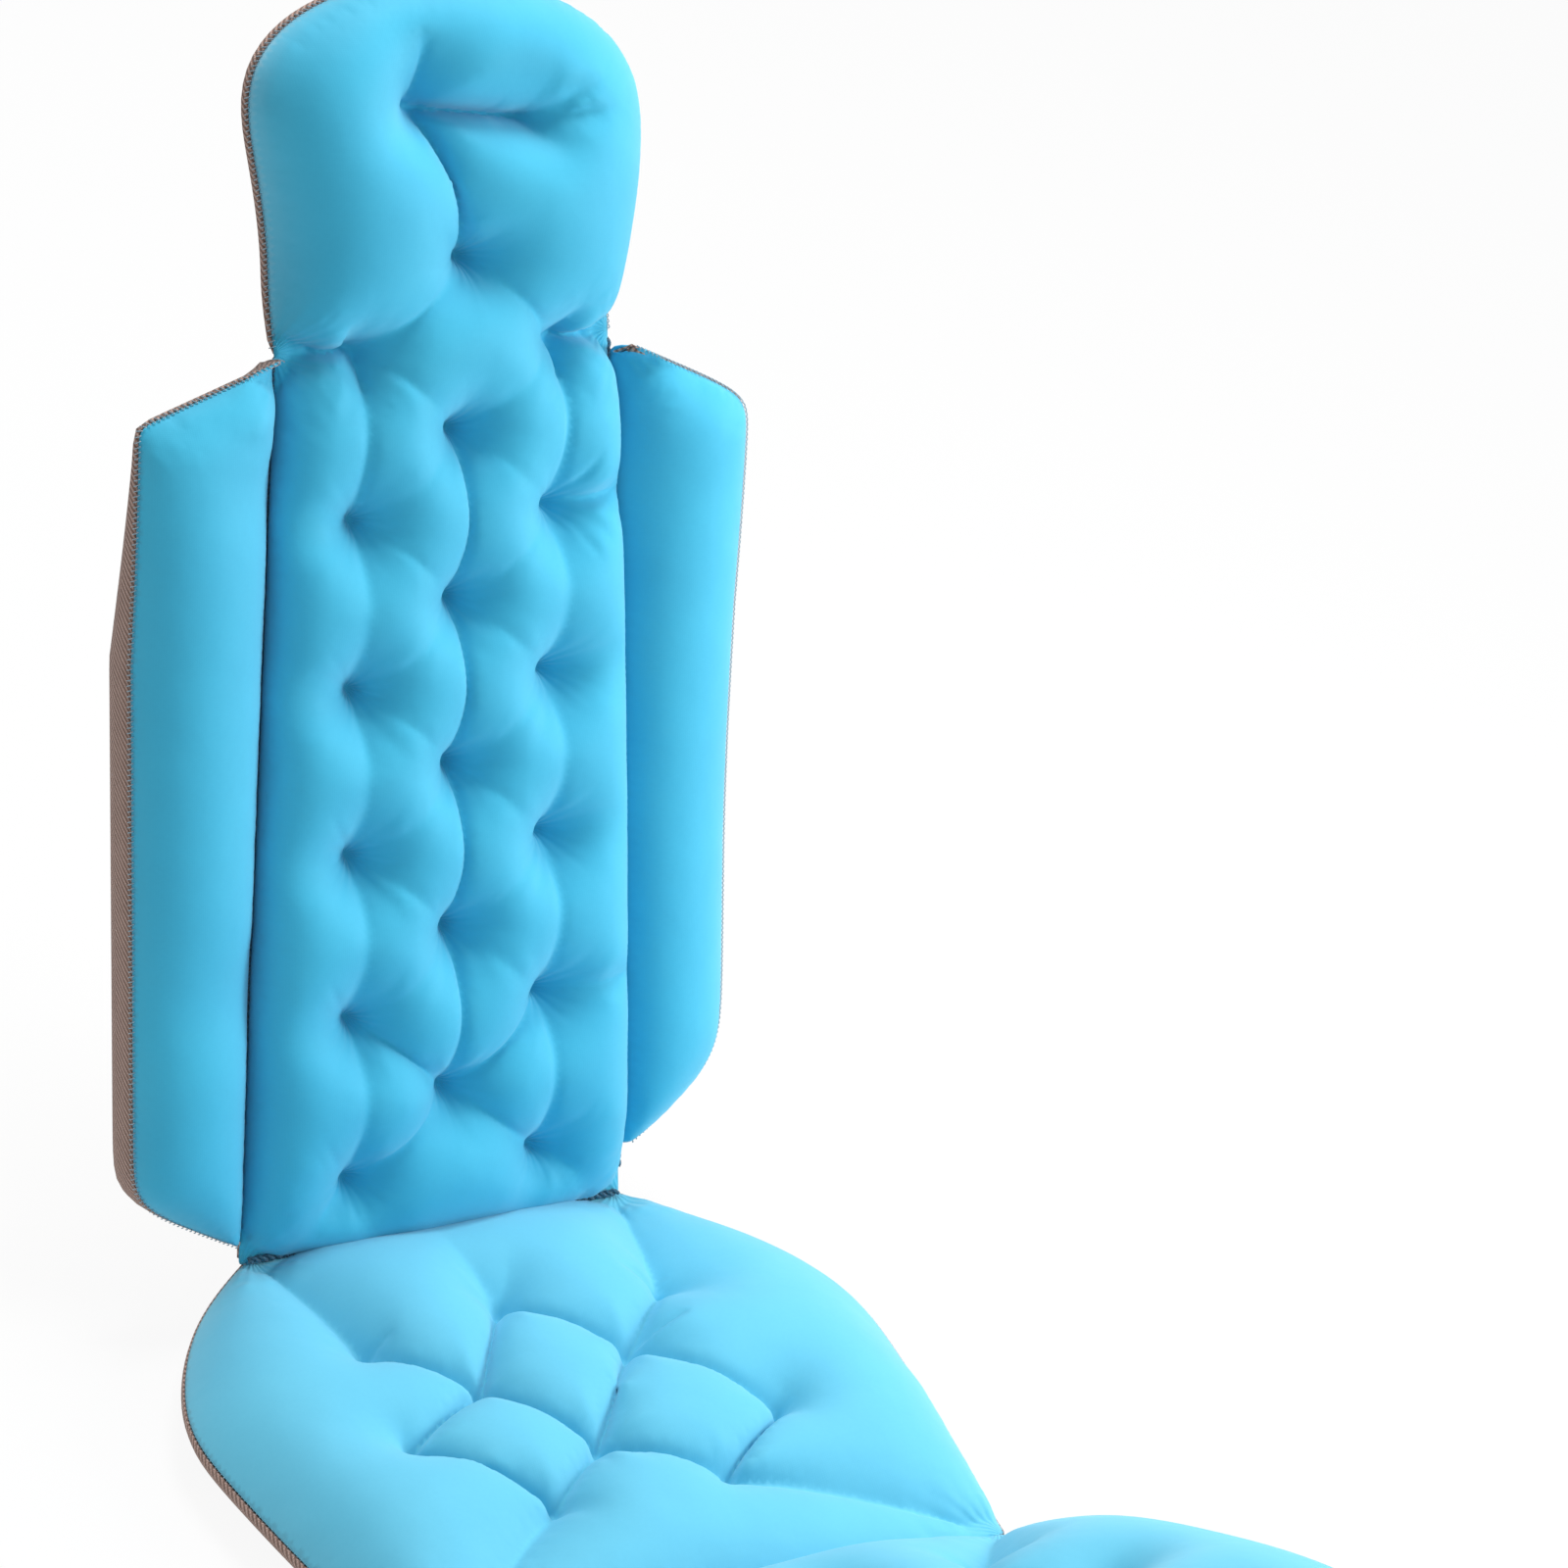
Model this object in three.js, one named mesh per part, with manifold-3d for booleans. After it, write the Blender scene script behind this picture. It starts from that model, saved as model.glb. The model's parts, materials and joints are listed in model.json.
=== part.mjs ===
// Full-body bath pillow: six padded panels, each a tufted knit cover over fibre fill and a spacer-mesh back.
// Sewn folds join the panels, tufting twine ties each cover down, and suction cups hold the mesh to a bath.
// Millimetres, +Z up. The seat lies level and reaches towards -Y, and the backrest leans towards +Y.
// Left and right are as seen from the front, looking along +Y.
import * as THREE from "three";
import { mergeVertices } from "three/addons/utils/BufferGeometryUtils.js";
import Module from "manifold-3d";

const wasm = await Module();
wasm.setup();

// Folds at rest, in degrees: the backrest from upright and the leg panel from level.
const BACK_LEAN = 19;
const LEG_ANGLE = 31;

// Panel lengths along the mesh, from fold to fold or to a free end.
const HEAD_LENGTH = 184;
const BACK_LENGTH = 481;
const SEAT_LENGTH = 313;
const LEG_LENGTH = 385;

// Half widths of the outline.
const HEAD_HALF = 110;
const NECK_HALF = 98;
const WAIST_HALF = 117;
const SHOULDER_HALF = 174;
const WING_HALF = 181;
const SEAT_WAIST_HALF = 113;
const SEAT_HALF = 204;
const SEAT_KNEE_HALF = 168;
const LEG_KNEE_HALF = 165;
const LEG_HALF = 203;
const END_HALF = 24;

// Where along a panel its outline turns.
const HEAD_ROUND = 88;
const SEAT_WIDEST = 160;
const LEG_WIDEST = 150;
const WING_FOOT = 17;
const WING_ROUND = 85;
const WING_TOP_GAP = 3;
const WING_TIP = 14;
const SHOULDER_DROP = 34;
const WING_CORNER_POWER = 1.75;
const SEAT_CORNER_POWER = 1.6;
const HEAD_END_POWER = 3;
const LEG_END_POWER = 4;

// Layers, and how far the cover and its fill swell above the rim.
const MESH = 2.5;
const COVER = 1.5;
const CLEARANCE = 0.3;
const FILL_ROOM = 1;
const HEAD_CROWN = 48;
const BACK_CROWN = 38;
const WING_CROWN = 28;
const SEAT_CROWN = 40;
const LEG_CROWN = 38;

// The mesh rises from its flat floor to the folds. Its side wall is low there and taller at the free edges.
const FOLD_LIFT = 14;
const FOLD_WALL = 3;
const HEAD_RIM = 10;
const WING_RIM = 20;
const SEAT_RIM = 12;
const LEG_RIM = 12;
const LIFT_RUN = 36;

// How far in from an edge the crown reaches its height.
const FOLD_RUN = 78;
const NECK_RUN = 24;
const WING_FOLD_RUN = 48;
const WING_RUN = 40;
const SIDE_RUN = 60;

// Sewn folds.
const CORD_RADIUS = 2.1;
const CORD_CLEARANCE = 0.4;
const CORD_SIDES = 8;

// Tufts, tied down to the mesh, and the creases that the side bolsters make at the folds.
const BACK_TUFT_X = 56;
const BACK_TUFT_PITCH = 88;
const BACK_FIRST_TUFT = 41;
const BACK_LAST_TUFT_ROOM = 30;
const SEAT_TUFT_STEP = 48;
const SEAT_FIRST_TUFT = 85;
const SEAT_TUFT_ROWS = 4;
const LEG_FIRST_TUFT = 85;
const LEG_TUFT_ROWS = 5;
const HEAD_TUFT_Y = 44;
const HEAD_LINE_Y = 115;
const HEAD_LINE_HALF = 38;
const TIE_RIM = 3;
const TUFT_SPREAD = 25;
const TUFT_DEPTH = 0.88;
const CREASE_SPREAD = 17;
const CREASE_DEPTH = 0.4;
const TWINE = 1.6;
const TIE = 3;

// Suction cups and the sockets that hold their knobs.
const CUP_RADIUS = 20;
const CUP_LIP = 2.5;
const CUP_EDGE = 0.8;
const CUP_HOLLOW = 3;
const CUP_DOME = 2.4;
const CUP_HEIGHT = 8;
const STEM_RADIUS = 4;
const KNOB_RADIUS = 6.5;
const KNOB_HEIGHT = 3;
const SOCKET_RADIUS = 13;
const SOCKET_WALL = 1.8;
const CUP_SIDES = 12;
const HEAD_CUP_X = 60;
const HEAD_CUP_Y = 100;
const BACK_CUP_X = 60;
const BACK_CUP_Y = 380;
const SEAT_CUP_X = 120;
const SEAT_REAR_CUP_Y = 40;
const SEAT_FRONT_CUP_Y = 265;
const LEG_CUP_X = 110;
const LEG_CUP_Y = 270;

// Facets.
const CELL = 18;
const END_CELLS = 4;
const OUTER_CELLS = 3;
const INNER_SHARE = 0.8;
const WING_CELLS = 5;
const HEAD_LINE_CELLS = 4;
const BACK_TUFT_CELLS = 6;
const SEAT_TUFT_CELLS = 12;

// Heights and places that follow from these sizes.
const EDGE = CORD_RADIUS + CORD_CLEARANCE;
const COVER_SEAT = CLEARANCE + COVER;
const FOLD_RIM = FOLD_LIFT + FOLD_WALL;
const FOLD_HEIGHT = FOLD_LIFT + (FOLD_WALL + COVER_SEAT) / 2;
const TWINE_FLOOR = MESH + CLEARANCE;
const FILL_FLOOR = TWINE_FLOOR + TWINE + CLEARANCE;
const STEM_TOP = CUP_HEIGHT + SOCKET_WALL + 2 * CLEARANCE;
const KNOB_TOP = STEM_TOP + KNOB_HEIGHT;
const SOCKET_TOP = KNOB_TOP + CLEARANCE + SOCKET_WALL;
const STANDOFF = SOCKET_TOP + CLEARANCE;
const WING_TOP = BACK_LENGTH - WING_TOP_GAP;
const SHOULDER = BACK_LENGTH - SHOULDER_DROP;

const paint = (color, roughness) => () => new THREE.MeshStandardMaterial({ color, roughness, metalness: 0 });
const knit = paint(0x45b8e6, 0.6);
const spacerMesh = paint(0x8a7b70, 0.9);
const fibre = paint(0xf2f4f5, 1);
const cordage = paint(0x2f9fd0, 0.8);
const vinyl = paint(0xdfe6e8, 0.25);
const socketPlastic = paint(0xc9ced1, 0.45);

const clamp = (value) => Math.min(Math.max(value, 0), 1);
const rise = (share) => Math.sin((Math.PI / 2) * clamp(share));
const swell = (share) => Math.sqrt(1 - (1 - clamp(share)) ** 2);
const arc = (share, power) => (1 - (1 - clamp(share)) ** power) ** (1 / power);
const mix = (from, to, share) => from + (to - from) * share;
const spread = (from, to, cells) =>
  Array.from({ length: cells + 1 }, (_, k) => from + ((to - from) * k) / cells);

// Rows through every stop, with cells of about one size between them.
function stations(stops) {
  const rows = [stops[0]];
  for (let k = 1; k < stops.length; k += 1) {
    const cells = Math.max(1, Math.round((stops[k] - stops[k - 1]) / CELL));
    rows.push(...spread(stops[k - 1], stops[k], cells).slice(1));
  }
  return rows;
}

// Rows that draw together towards a rounded end.
const endStations = (from, to) =>
  spread(0, 1, END_CELLS).slice(1).map((share) => from + (to - from) * rise(share));

const unique = (list) => [...new Set(list)].sort((a, b) => a - b);
const tuft = (x, y) => ({ from: [x, y], to: [x, y], depth: TUFT_DEPTH, spread: TUFT_SPREAD });
const crease = (from, to) => ({ from, to, depth: CREASE_DEPTH, spread: CREASE_SPREAD });

// Distance from a point to a tie's stitch line, which is a single point for a tuft.
function distanceTo(tie, x, y) {
  const along = [tie.to[0] - tie.from[0], tie.to[1] - tie.from[1]];
  const length = Math.hypot(...along);
  const offset = [x - tie.from[0], y - tie.from[1]];
  const share = length ? clamp((offset[0] * along[0] + offset[1] * along[1]) / length ** 2) : 0;
  return Math.hypot(offset[0] - along[0] * share, offset[1] - along[1] * share);
}

// How much of the crown the ties leave at a point, from 0 to 1.
const slack = (ties, x, y) =>
  ties.reduce((left, tie) => {
    const reach = distanceTo(tie, x, y) / tie.spread;
    return left * (1 - tie.depth * Math.exp(-(reach ** 2)));
  }, 1);

// How near a row is to a panel's folded ends: 1 at an end, 0 once the mesh has reached its flat floor.
const foldShare = (...distances) => 1 - rise(Math.min(...distances) / LIFT_RUN);

// Top of the cover above the mesh's floor. It meets the rim all round, and every tie draws it down.
function coverTop(panel, x, y) {
  const rim = panel.rim(x, y);
  const left = slack(panel.ties, x, y);
  return COVER_SEAT + rim + panel.loft(x, y) * (panel.crown * left - (rim - TIE_RIM) * (1 - left));
}

// A panel's points, row by row, with the heights of its mesh and its cover.
const gridOf = (panel) =>
  panel.rows.map((y) =>
    panel.columns(y).map((x) => ({
      x,
      y,
      floor: FOLD_LIFT * panel.near(y),
      top: coverTop(panel, x, y),
    })),
  );

// Columns of a panel that is alike on both sides: even ones over its tufts and a few out to each edge.
function mirroredColumns(half, tuftHalf, tuftCells) {
  const inner = Math.min(tuftHalf, INNER_SHARE * half);
  const right = spread(inner, half, OUTER_CELLS).slice(1);
  const left = right.map((x) => -x).reverse();
  return [...left, ...spread(-inner, inner, tuftCells), ...right];
}

function headPanel() {
  const straight = HEAD_LENGTH - HEAD_ROUND;
  const half = (y) => {
    const side = NECK_HALF + (HEAD_HALF - NECK_HALF) * rise(y / straight);
    return side * Math.sqrt(1 - clamp((y - straight) / HEAD_ROUND) ** HEAD_END_POWER);
  };
  const end = straight + HEAD_ROUND * (1 - (END_HALF / HEAD_HALF) ** 2) ** (1 / HEAD_END_POWER);
  const near = (y) => foldShare(y - EDGE);
  const line = { ...tuft(-HEAD_LINE_HALF, HEAD_LINE_Y), to: [HEAD_LINE_HALF, HEAD_LINE_Y] };
  const linePosts = spread(-HEAD_LINE_HALF, HEAD_LINE_HALF, HEAD_LINE_CELLS).map((x) => [x, HEAD_LINE_Y]);
  return {
    rows: [...stations([EDGE, HEAD_TUFT_Y, HEAD_LINE_Y]), ...endStations(HEAD_LINE_Y, end)],
    columns: (y) => mirroredColumns(half(y), HEAD_LINE_HALF, HEAD_LINE_CELLS),
    near,
    rim: (x, y) => mix(HEAD_RIM, FOLD_RIM, near(y)),
    loft: (x, y) =>
      rise((y - EDGE) / NECK_RUN) * swell((end - y) / SIDE_RUN) * swell((half(y) - Math.abs(x)) / SIDE_RUN),
    crown: HEAD_CROWN,
    ties: [tuft(0, HEAD_TUFT_Y), line],
    posts: [[0, HEAD_TUFT_Y], ...linePosts],
  };
}

// The wing seams run straight from the waist to the neck.
const seamHalf = (y) => WAIST_HALF + ((NECK_HALF - WAIST_HALF) * y) / BACK_LENGTH;

function backPanel() {
  const last = BACK_LENGTH - BACK_LAST_TUFT_ROOM;
  const posts = [];
  for (let row = 0; BACK_FIRST_TUFT + (row * BACK_TUFT_PITCH) / 2 < last; row += 1) {
    const y = BACK_FIRST_TUFT + (row * BACK_TUFT_PITCH) / 2;
    const across = row % 2 ? [0] : [-BACK_TUFT_X, BACK_TUFT_X];
    posts.push(...across.map((x) => [x, y]));
  }
  const half = (y) => seamHalf(y) - EDGE;
  const top = BACK_LENGTH - EDGE;
  return {
    rows: stations([EDGE, ...unique(posts.map(([, y]) => y)), top]),
    columns: (y) => mirroredColumns(half(y), BACK_TUFT_X, BACK_TUFT_CELLS),
    near: (y) => foldShare(y - EDGE, top - y),
    rim: () => FOLD_RIM,
    loft: (x, y) => {
      const ends = rise((y - EDGE) / FOLD_RUN) * rise((top - y) / NECK_RUN);
      return ends * rise((half(y) - Math.abs(x)) / WING_FOLD_RUN);
    },
    crown: BACK_CROWN,
    ties: posts.map(([x, y]) => tuft(x, y)),
    posts,
  };
}

// Outer edge of a wing: round at its foot, nearly straight up to the shoulder, then sloping in to the neck.
function wingHalf(y) {
  const foot = seamHalf(WING_FOOT) + WING_TIP;
  const neck = seamHalf(WING_TOP) + WING_TIP;
  const straight = WING_FOOT + WING_ROUND;
  if (y < straight) return foot + (WING_HALF - foot) * arc((y - WING_FOOT) / WING_ROUND, WING_CORNER_POWER);
  if (y < SHOULDER) return WING_HALF + ((SHOULDER_HALF - WING_HALF) * (y - straight)) / (SHOULDER - straight);
  return SHOULDER_HALF + ((neck - SHOULDER_HALF) * (y - SHOULDER)) / (WING_TOP - SHOULDER);
}

function wingPanel(side) {
  const inner = (y) => seamHalf(y) + EDGE;
  const share = (x, y) => (Math.abs(x) - inner(y)) / (wingHalf(y) - inner(y));
  const roundRows = spread(0, 1, END_CELLS).map((k) => WING_FOOT + WING_ROUND * (1 - rise(1 - k)));
  return {
    rows: [...roundRows, ...stations([WING_FOOT + WING_ROUND, SHOULDER, WING_TOP]).slice(1)],
    columns: (y) => {
      const across = spread(inner(y), wingHalf(y), WING_CELLS);
      return side > 0 ? across : across.map((x) => -x).reverse();
    },
    near: (y) => foldShare(y - WING_FOOT, WING_TOP - y),
    rim: (x, y) => mix(FOLD_RIM, WING_RIM, share(x, y)),
    loft: (x, y) => rise((Math.abs(x) - inner(y)) / WING_RUN) * swell((wingHalf(y) - Math.abs(x)) / WING_RUN),
    crown: WING_CROWN,
    ties: [],
    posts: [],
  };
}

// Rows of three and two tufts by turns, each halfway between those of the row before.
function staggeredTufts(first, rows) {
  const posts = [];
  for (let row = 0; row < rows; row += 1) {
    const across = row % 2 ? [-1, 1] : [-2, 0, 2];
    posts.push(...across.map((k) => [k * SEAT_TUFT_STEP, first + row * SEAT_TUFT_STEP]));
  }
  return posts;
}

function seatPanel() {
  const half = (y) => {
    const near = arc(y / SEAT_WIDEST, SEAT_CORNER_POWER);
    const far = arc((SEAT_LENGTH - y) / (SEAT_LENGTH - SEAT_WIDEST), SEAT_CORNER_POWER);
    if (y < SEAT_WIDEST) return SEAT_WAIST_HALF + (SEAT_HALF - SEAT_WAIST_HALF) * near;
    return SEAT_KNEE_HALF + (SEAT_HALF - SEAT_KNEE_HALF) * far;
  };
  const posts = staggeredTufts(SEAT_FIRST_TUFT, SEAT_TUFT_ROWS);
  const lastTuft = SEAT_FIRST_TUFT + (SEAT_TUFT_ROWS - 1) * SEAT_TUFT_STEP;
  const far = SEAT_LENGTH - EDGE;
  const near = (y) => foldShare(y - EDGE, far - y);
  const creases = [-1, 1].flatMap((side) => [
    crease([side * SEAT_WAIST_HALF, 0], [side * 2 * SEAT_TUFT_STEP, SEAT_FIRST_TUFT]),
    crease([side * SEAT_KNEE_HALF, SEAT_LENGTH], [side * SEAT_TUFT_STEP, lastTuft]),
  ]);
  return {
    rows: stations([EDGE, ...unique(posts.map(([, y]) => y)), far]),
    columns: (y) => mirroredColumns(half(y), 2 * SEAT_TUFT_STEP, SEAT_TUFT_CELLS),
    near,
    rim: (x, y) => mix(SEAT_RIM, FOLD_RIM, near(y)),
    loft: (x, y) =>
      rise((y - EDGE) / FOLD_RUN) * rise((far - y) / FOLD_RUN) * swell((half(y) - Math.abs(x)) / SIDE_RUN),
    crown: SEAT_CROWN,
    ties: [...posts.map(([x, y]) => tuft(x, y)), ...creases],
    posts,
  };
}

function legPanel() {
  const round = LEG_LENGTH - LEG_WIDEST;
  const half = (y) => {
    if (y < LEG_WIDEST) return mix(LEG_KNEE_HALF, LEG_HALF, arc(y / LEG_WIDEST, SEAT_CORNER_POWER));
    return LEG_HALF * Math.sqrt(1 - clamp((y - LEG_WIDEST) / round) ** LEG_END_POWER);
  };
  const end = LEG_WIDEST + round * (1 - (END_HALF / LEG_HALF) ** 2) ** (1 / LEG_END_POWER);
  const posts = staggeredTufts(LEG_FIRST_TUFT, LEG_TUFT_ROWS);
  const tuftRows = unique(posts.map(([, y]) => y));
  const near = (y) => foldShare(y - EDGE);
  const creases = [-1, 1].map((side) =>
    crease([side * LEG_KNEE_HALF, 0], [side * 2 * SEAT_TUFT_STEP, LEG_FIRST_TUFT]),
  );
  return {
    rows: [...stations([EDGE, ...tuftRows]), ...endStations(tuftRows.at(-1), end)],
    columns: (y) => mirroredColumns(half(y), 2 * SEAT_TUFT_STEP, SEAT_TUFT_CELLS),
    near,
    rim: (x, y) => mix(LEG_RIM, FOLD_RIM, near(y)),
    loft: (x, y) =>
      rise((y - EDGE) / FOLD_RUN) * swell((end - y) / SIDE_RUN) * swell((half(y) - Math.abs(x)) / SIDE_RUN),
    crown: LEG_CROWN,
    ties: [...posts.map(([x, y]) => tuft(x, y)), ...creases],
    posts,
  };
}

function geometryOf(triangles) {
  const geometry = new THREE.BufferGeometry();
  geometry.setAttribute("position", new THREE.Float32BufferAttribute(triangles.flat(2), 3));
  geometry.computeVertexNormals();
  return geometry;
}

const wall = (a, b, c, d) => [
  [a, b, c],
  [a, c, d],
];

// A closed slab over some of a grid's cells, between two heights given for each grid point.
function slab(grid, cells, topOf, floorOf) {
  const kept = new Set(cells.map(([i, j]) => `${i} ${j}`));
  const neighbours = [[0, -1], [1, 0], [0, 1], [-1, 0]];
  const triangles = [];
  for (const [i, j] of cells) {
    const corners = [grid[j][i], grid[j][i + 1], grid[j + 1][i + 1], grid[j + 1][i]];
    const top = corners.map((point) => [point.x, point.y, topOf(point)]);
    const floor = corners.map((point) => [point.x, point.y, floorOf(point)]);
    triangles.push(...wall(...top), [floor[0], floor[2], floor[1]], [floor[0], floor[3], floor[2]]);
    neighbours.forEach(([di, dj], k) => {
      const next = (k + 1) % 4;
      if (!kept.has(`${i + di} ${j + dj}`)) triangles.push(...wall(floor[k], floor[next], top[next], top[k]));
    });
  }
  return geometryOf(triangles);
}

const cellsOf = (grid) =>
  grid.slice(1).flatMap((_, j) => grid[0].slice(1).map((__, i) => [i, j]));

const coverGeometry = (grid) => slab(grid, cellsOf(grid), ({ top }) => top, ({ top }) => top - COVER);

// The fill lies one column in from each edge, on the rows that clear the side wall, and is open at every tie.
function fillGeometry(grid, posts) {
  const outline = outlineOf(grid).map(({ x, y }) => [x, y]);
  const edges = outline.map((from, k) => ({ from, to: outline[(k + 1) % outline.length] }));
  const clear = ({ x, y }) => edges.every((edge) => distanceTo(edge, x, y) > MESH + FILL_ROOM);
  const rows = grid.map((row) => clear(row[1]) && clear(row.at(-2)));
  const tied = ({ x, y }) => posts.some((post) => Math.hypot(x - post[0], y - post[1]) < TIE);
  const open = cellsOf(grid).filter(([i, j]) => {
    const corners = [grid[j][i], grid[j][i + 1], grid[j + 1][i + 1], grid[j + 1][i]];
    const inside = i > 0 && i < grid[0].length - 2 && j >= rows.indexOf(true) && j < rows.lastIndexOf(true);
    return inside && !corners.some(tied);
  });
  return slab(grid, open, ({ top }) => top - COVER - CLEARANCE, ({ floor }) => floor + FILL_FLOOR);
}

// A grid's outline, anticlockwise from its first corner: up its right edge and down its left one.
const outlineOf = (grid) => [
  grid[0][0],
  ...grid.map((row) => row.at(-1)),
  ...grid.slice(1).toReversed().map((row) => row[0]),
];

// Offset of a corner to the left of a path, with both of its sides moved by the same distance.
function mitre(before, corner, after, distance) {
  const first = new THREE.Vector2(corner.x - before.x, corner.y - before.y).normalize();
  const second = new THREE.Vector2(after.x - corner.x, after.y - corner.y).normalize();
  const bend = first.clone().add(second).normalize();
  const reach = distance / bend.dot(first);
  return { ...corner, x: corner.x - bend.y * reach, y: corner.y + bend.x * reach };
}

// The mesh back: a shallow tray whose side wall carries the edge of the cover.
function trayGeometry(panel, grid) {
  const outer = outlineOf(grid);
  const count = outer.length;
  const inner = outer.map((point, k) =>
    mitre(outer[(k + count - 1) % count], point, outer[(k + 1) % count], MESH),
  );
  const ring = (loop, heightOf) => loop.map((point) => [point.x, point.y, heightOf(point)]);
  const rimOf = (point) => panel.rim(point.x, point.y);
  const floorOf = (point) => point.floor;
  const bedOf = (point) => point.floor + MESH;
  const rings = [ring(outer, floorOf), ring(outer, rimOf), ring(inner, rimOf), ring(inner, bedOf)];
  const triangles = [];
  for (let k = 0; k < count; k += 1) {
    const next = (k + 1) % count;
    for (let band = 0; band < rings.length - 1; band += 1) {
      const [low, high] = [rings[band], rings[band + 1]];
      triangles.push(...wall(low[k], low[next], high[next], high[k]));
    }
  }
  for (let j = 0; j < grid.length - 1; j += 1) {
    const [left, right] = [(count - j) % count, j + 1];
    for (const face of wall(left, right, right + 1, count - j - 1)) {
      triangles.push(face.toReversed().map((k) => rings[0][k]), face.map((k) => rings[3][k]));
    }
  }
  return geometryOf(triangles);
}

function solidOf(geometry) {
  const bare = geometry.clone();
  bare.deleteAttribute("normal");
  bare.deleteAttribute("uv");
  const merged = mergeVertices(bare);
  const mesh = new wasm.Mesh({
    numProp: 3,
    vertProperties: new Float32Array(merged.attributes.position.array),
    triVerts: new Uint32Array(merged.index.array),
  });
  return new wasm.Manifold(mesh);
}

function geometryFromSolid(solid) {
  const mesh = solid.getMesh();
  const geometry = new THREE.BufferGeometry();
  geometry.setAttribute("position", new THREE.BufferAttribute(mesh.vertProperties, 3));
  geometry.setIndex(new THREE.BufferAttribute(mesh.triVerts, 1));
  geometry.computeVertexNormals();
  return geometry;
}

// Tufting twine: one run along the mesh floor from tie to tie, with a tie standing up under each dimple.
function twineGeometry(panel) {
  const stops = panel.posts.map(([x, y]) => ({ x, y }));
  const beside = (distance) =>
    stops.map((stop, k) => {
      const before = stops[k - 1] ?? { x: 2 * stop.x - stops[k + 1].x, y: 2 * stop.y - stops[k + 1].y };
      const after = stops[k + 1] ?? { x: 2 * stop.x - before.x, y: 2 * stop.y - before.y };
      return mitre(before, stop, after, distance);
    });
  const edges = [...beside(-TWINE / 2), ...beside(TWINE / 2).reverse()];
  const shape = new THREE.Shape(edges.map(({ x, y }) => new THREE.Vector2(x, y)));
  const run = new THREE.ExtrudeGeometry(shape, { depth: TWINE, bevelEnabled: false });
  run.translate(0, 0, TWINE_FLOOR);
  let twine = solidOf(run);
  for (const { x, y } of stops) {
    const height = coverTop(panel, x, y) - COVER - CLEARANCE - TWINE_FLOOR;
    const tie = new THREE.BoxGeometry(TIE, TIE, height);
    tie.translate(x, y, TWINE_FLOOR + height / 2);
    twine = twine.add(solidOf(tie));
  }
  return geometryFromSolid(twine);
}

const lathe = (profile) => {
  const points = profile.map(([radius, height]) => new THREE.Vector2(radius, height));
  return new THREE.LatheGeometry(points, CUP_SIDES).rotateX(Math.PI / 2);
};

// Suction cup from its lip, at height 0, to the top of its knob.
const cupGeometry = () =>
  lathe([
    [0, CUP_HOLLOW],
    [(CUP_RADIUS - CUP_LIP) / 2, CUP_DOME],
    [CUP_RADIUS - CUP_LIP, 0],
    [CUP_RADIUS, 0],
    [CUP_RADIUS, CUP_EDGE],
    [(CUP_RADIUS + STEM_RADIUS) / 2, (CUP_HEIGHT + CUP_HOLLOW) / 2],
    [STEM_RADIUS, CUP_HEIGHT],
    [STEM_RADIUS, STEM_TOP],
    [KNOB_RADIUS, STEM_TOP],
    [KNOB_RADIUS, KNOB_TOP],
    [0, KNOB_TOP],
  ]);

// Socket sewn to the mesh: its lower plate holds the knob in, and its upper plate lies on the mesh.
const socketGeometry = () =>
  lathe([
    [0, SOCKET_TOP - SOCKET_WALL],
    [KNOB_RADIUS + CLEARANCE, SOCKET_TOP - SOCKET_WALL],
    [KNOB_RADIUS + CLEARANCE, STEM_TOP - CLEARANCE],
    [STEM_RADIUS + CLEARANCE, STEM_TOP - CLEARANCE],
    [STEM_RADIUS + CLEARANCE, STEM_TOP - CLEARANCE - SOCKET_WALL],
    [SOCKET_RADIUS, STEM_TOP - CLEARANCE - SOCKET_WALL],
    [SOCKET_RADIUS, SOCKET_TOP],
    [0, SOCKET_TOP],
  ]);

function piece(group, name, geometry, material) {
  const mesh = new THREE.Mesh(geometry, material());
  mesh.name = name;
  group.add(mesh);
  return mesh;
}

function addPanel(group, name, panel) {
  const grid = gridOf(panel);
  piece(group, `${name}_cover`, coverGeometry(grid), knit);
  piece(group, `${name}_fill`, fillGeometry(grid, panel.posts), fibre);
  piece(group, `${name}_mesh_back`, trayGeometry(panel, grid), spacerMesh);
  if (panel.posts.length) piece(group, `${name}_tuft_twine`, twineGeometry(panel), cordage);
}

function addCup(group, name, x, y) {
  piece(group, `${name}_cup`, cupGeometry(), vinyl).position.set(x, y, -STANDOFF);
  piece(group, `${name}_cup_socket`, socketGeometry(), socketPlastic).position.set(x, y, -STANDOFF);
}

// A fold's cord between two points of a panel's plane.
function addFoldCord(group, name, from, to) {
  const run = new THREE.Vector3(to[0] - from[0], to[1] - from[1], 0);
  const cord = new THREE.CylinderGeometry(CORD_RADIUS, CORD_RADIUS, run.length(), CORD_SIDES);
  const mesh = piece(group, name, cord, cordage);
  mesh.position.set((from[0] + to[0]) / 2, (from[1] + to[1]) / 2, FOLD_HEIGHT);
  mesh.quaternion.setFromUnitVectors(new THREE.Vector3(0, 1, 0), run.normalize());
}

// A panel's frame turns about a fold that lies at the fold's height above the mesh.
function foldFrame(parent, y, z, degrees) {
  const turn = new THREE.Group();
  turn.position.set(0, y, z + FOLD_HEIGHT);
  turn.rotation.x = THREE.MathUtils.degToRad(degrees);
  const frame = new THREE.Group();
  frame.position.z = -FOLD_HEIGHT;
  turn.add(frame);
  parent.add(turn);
  return frame;
}

const pillow = new THREE.Group();

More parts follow.
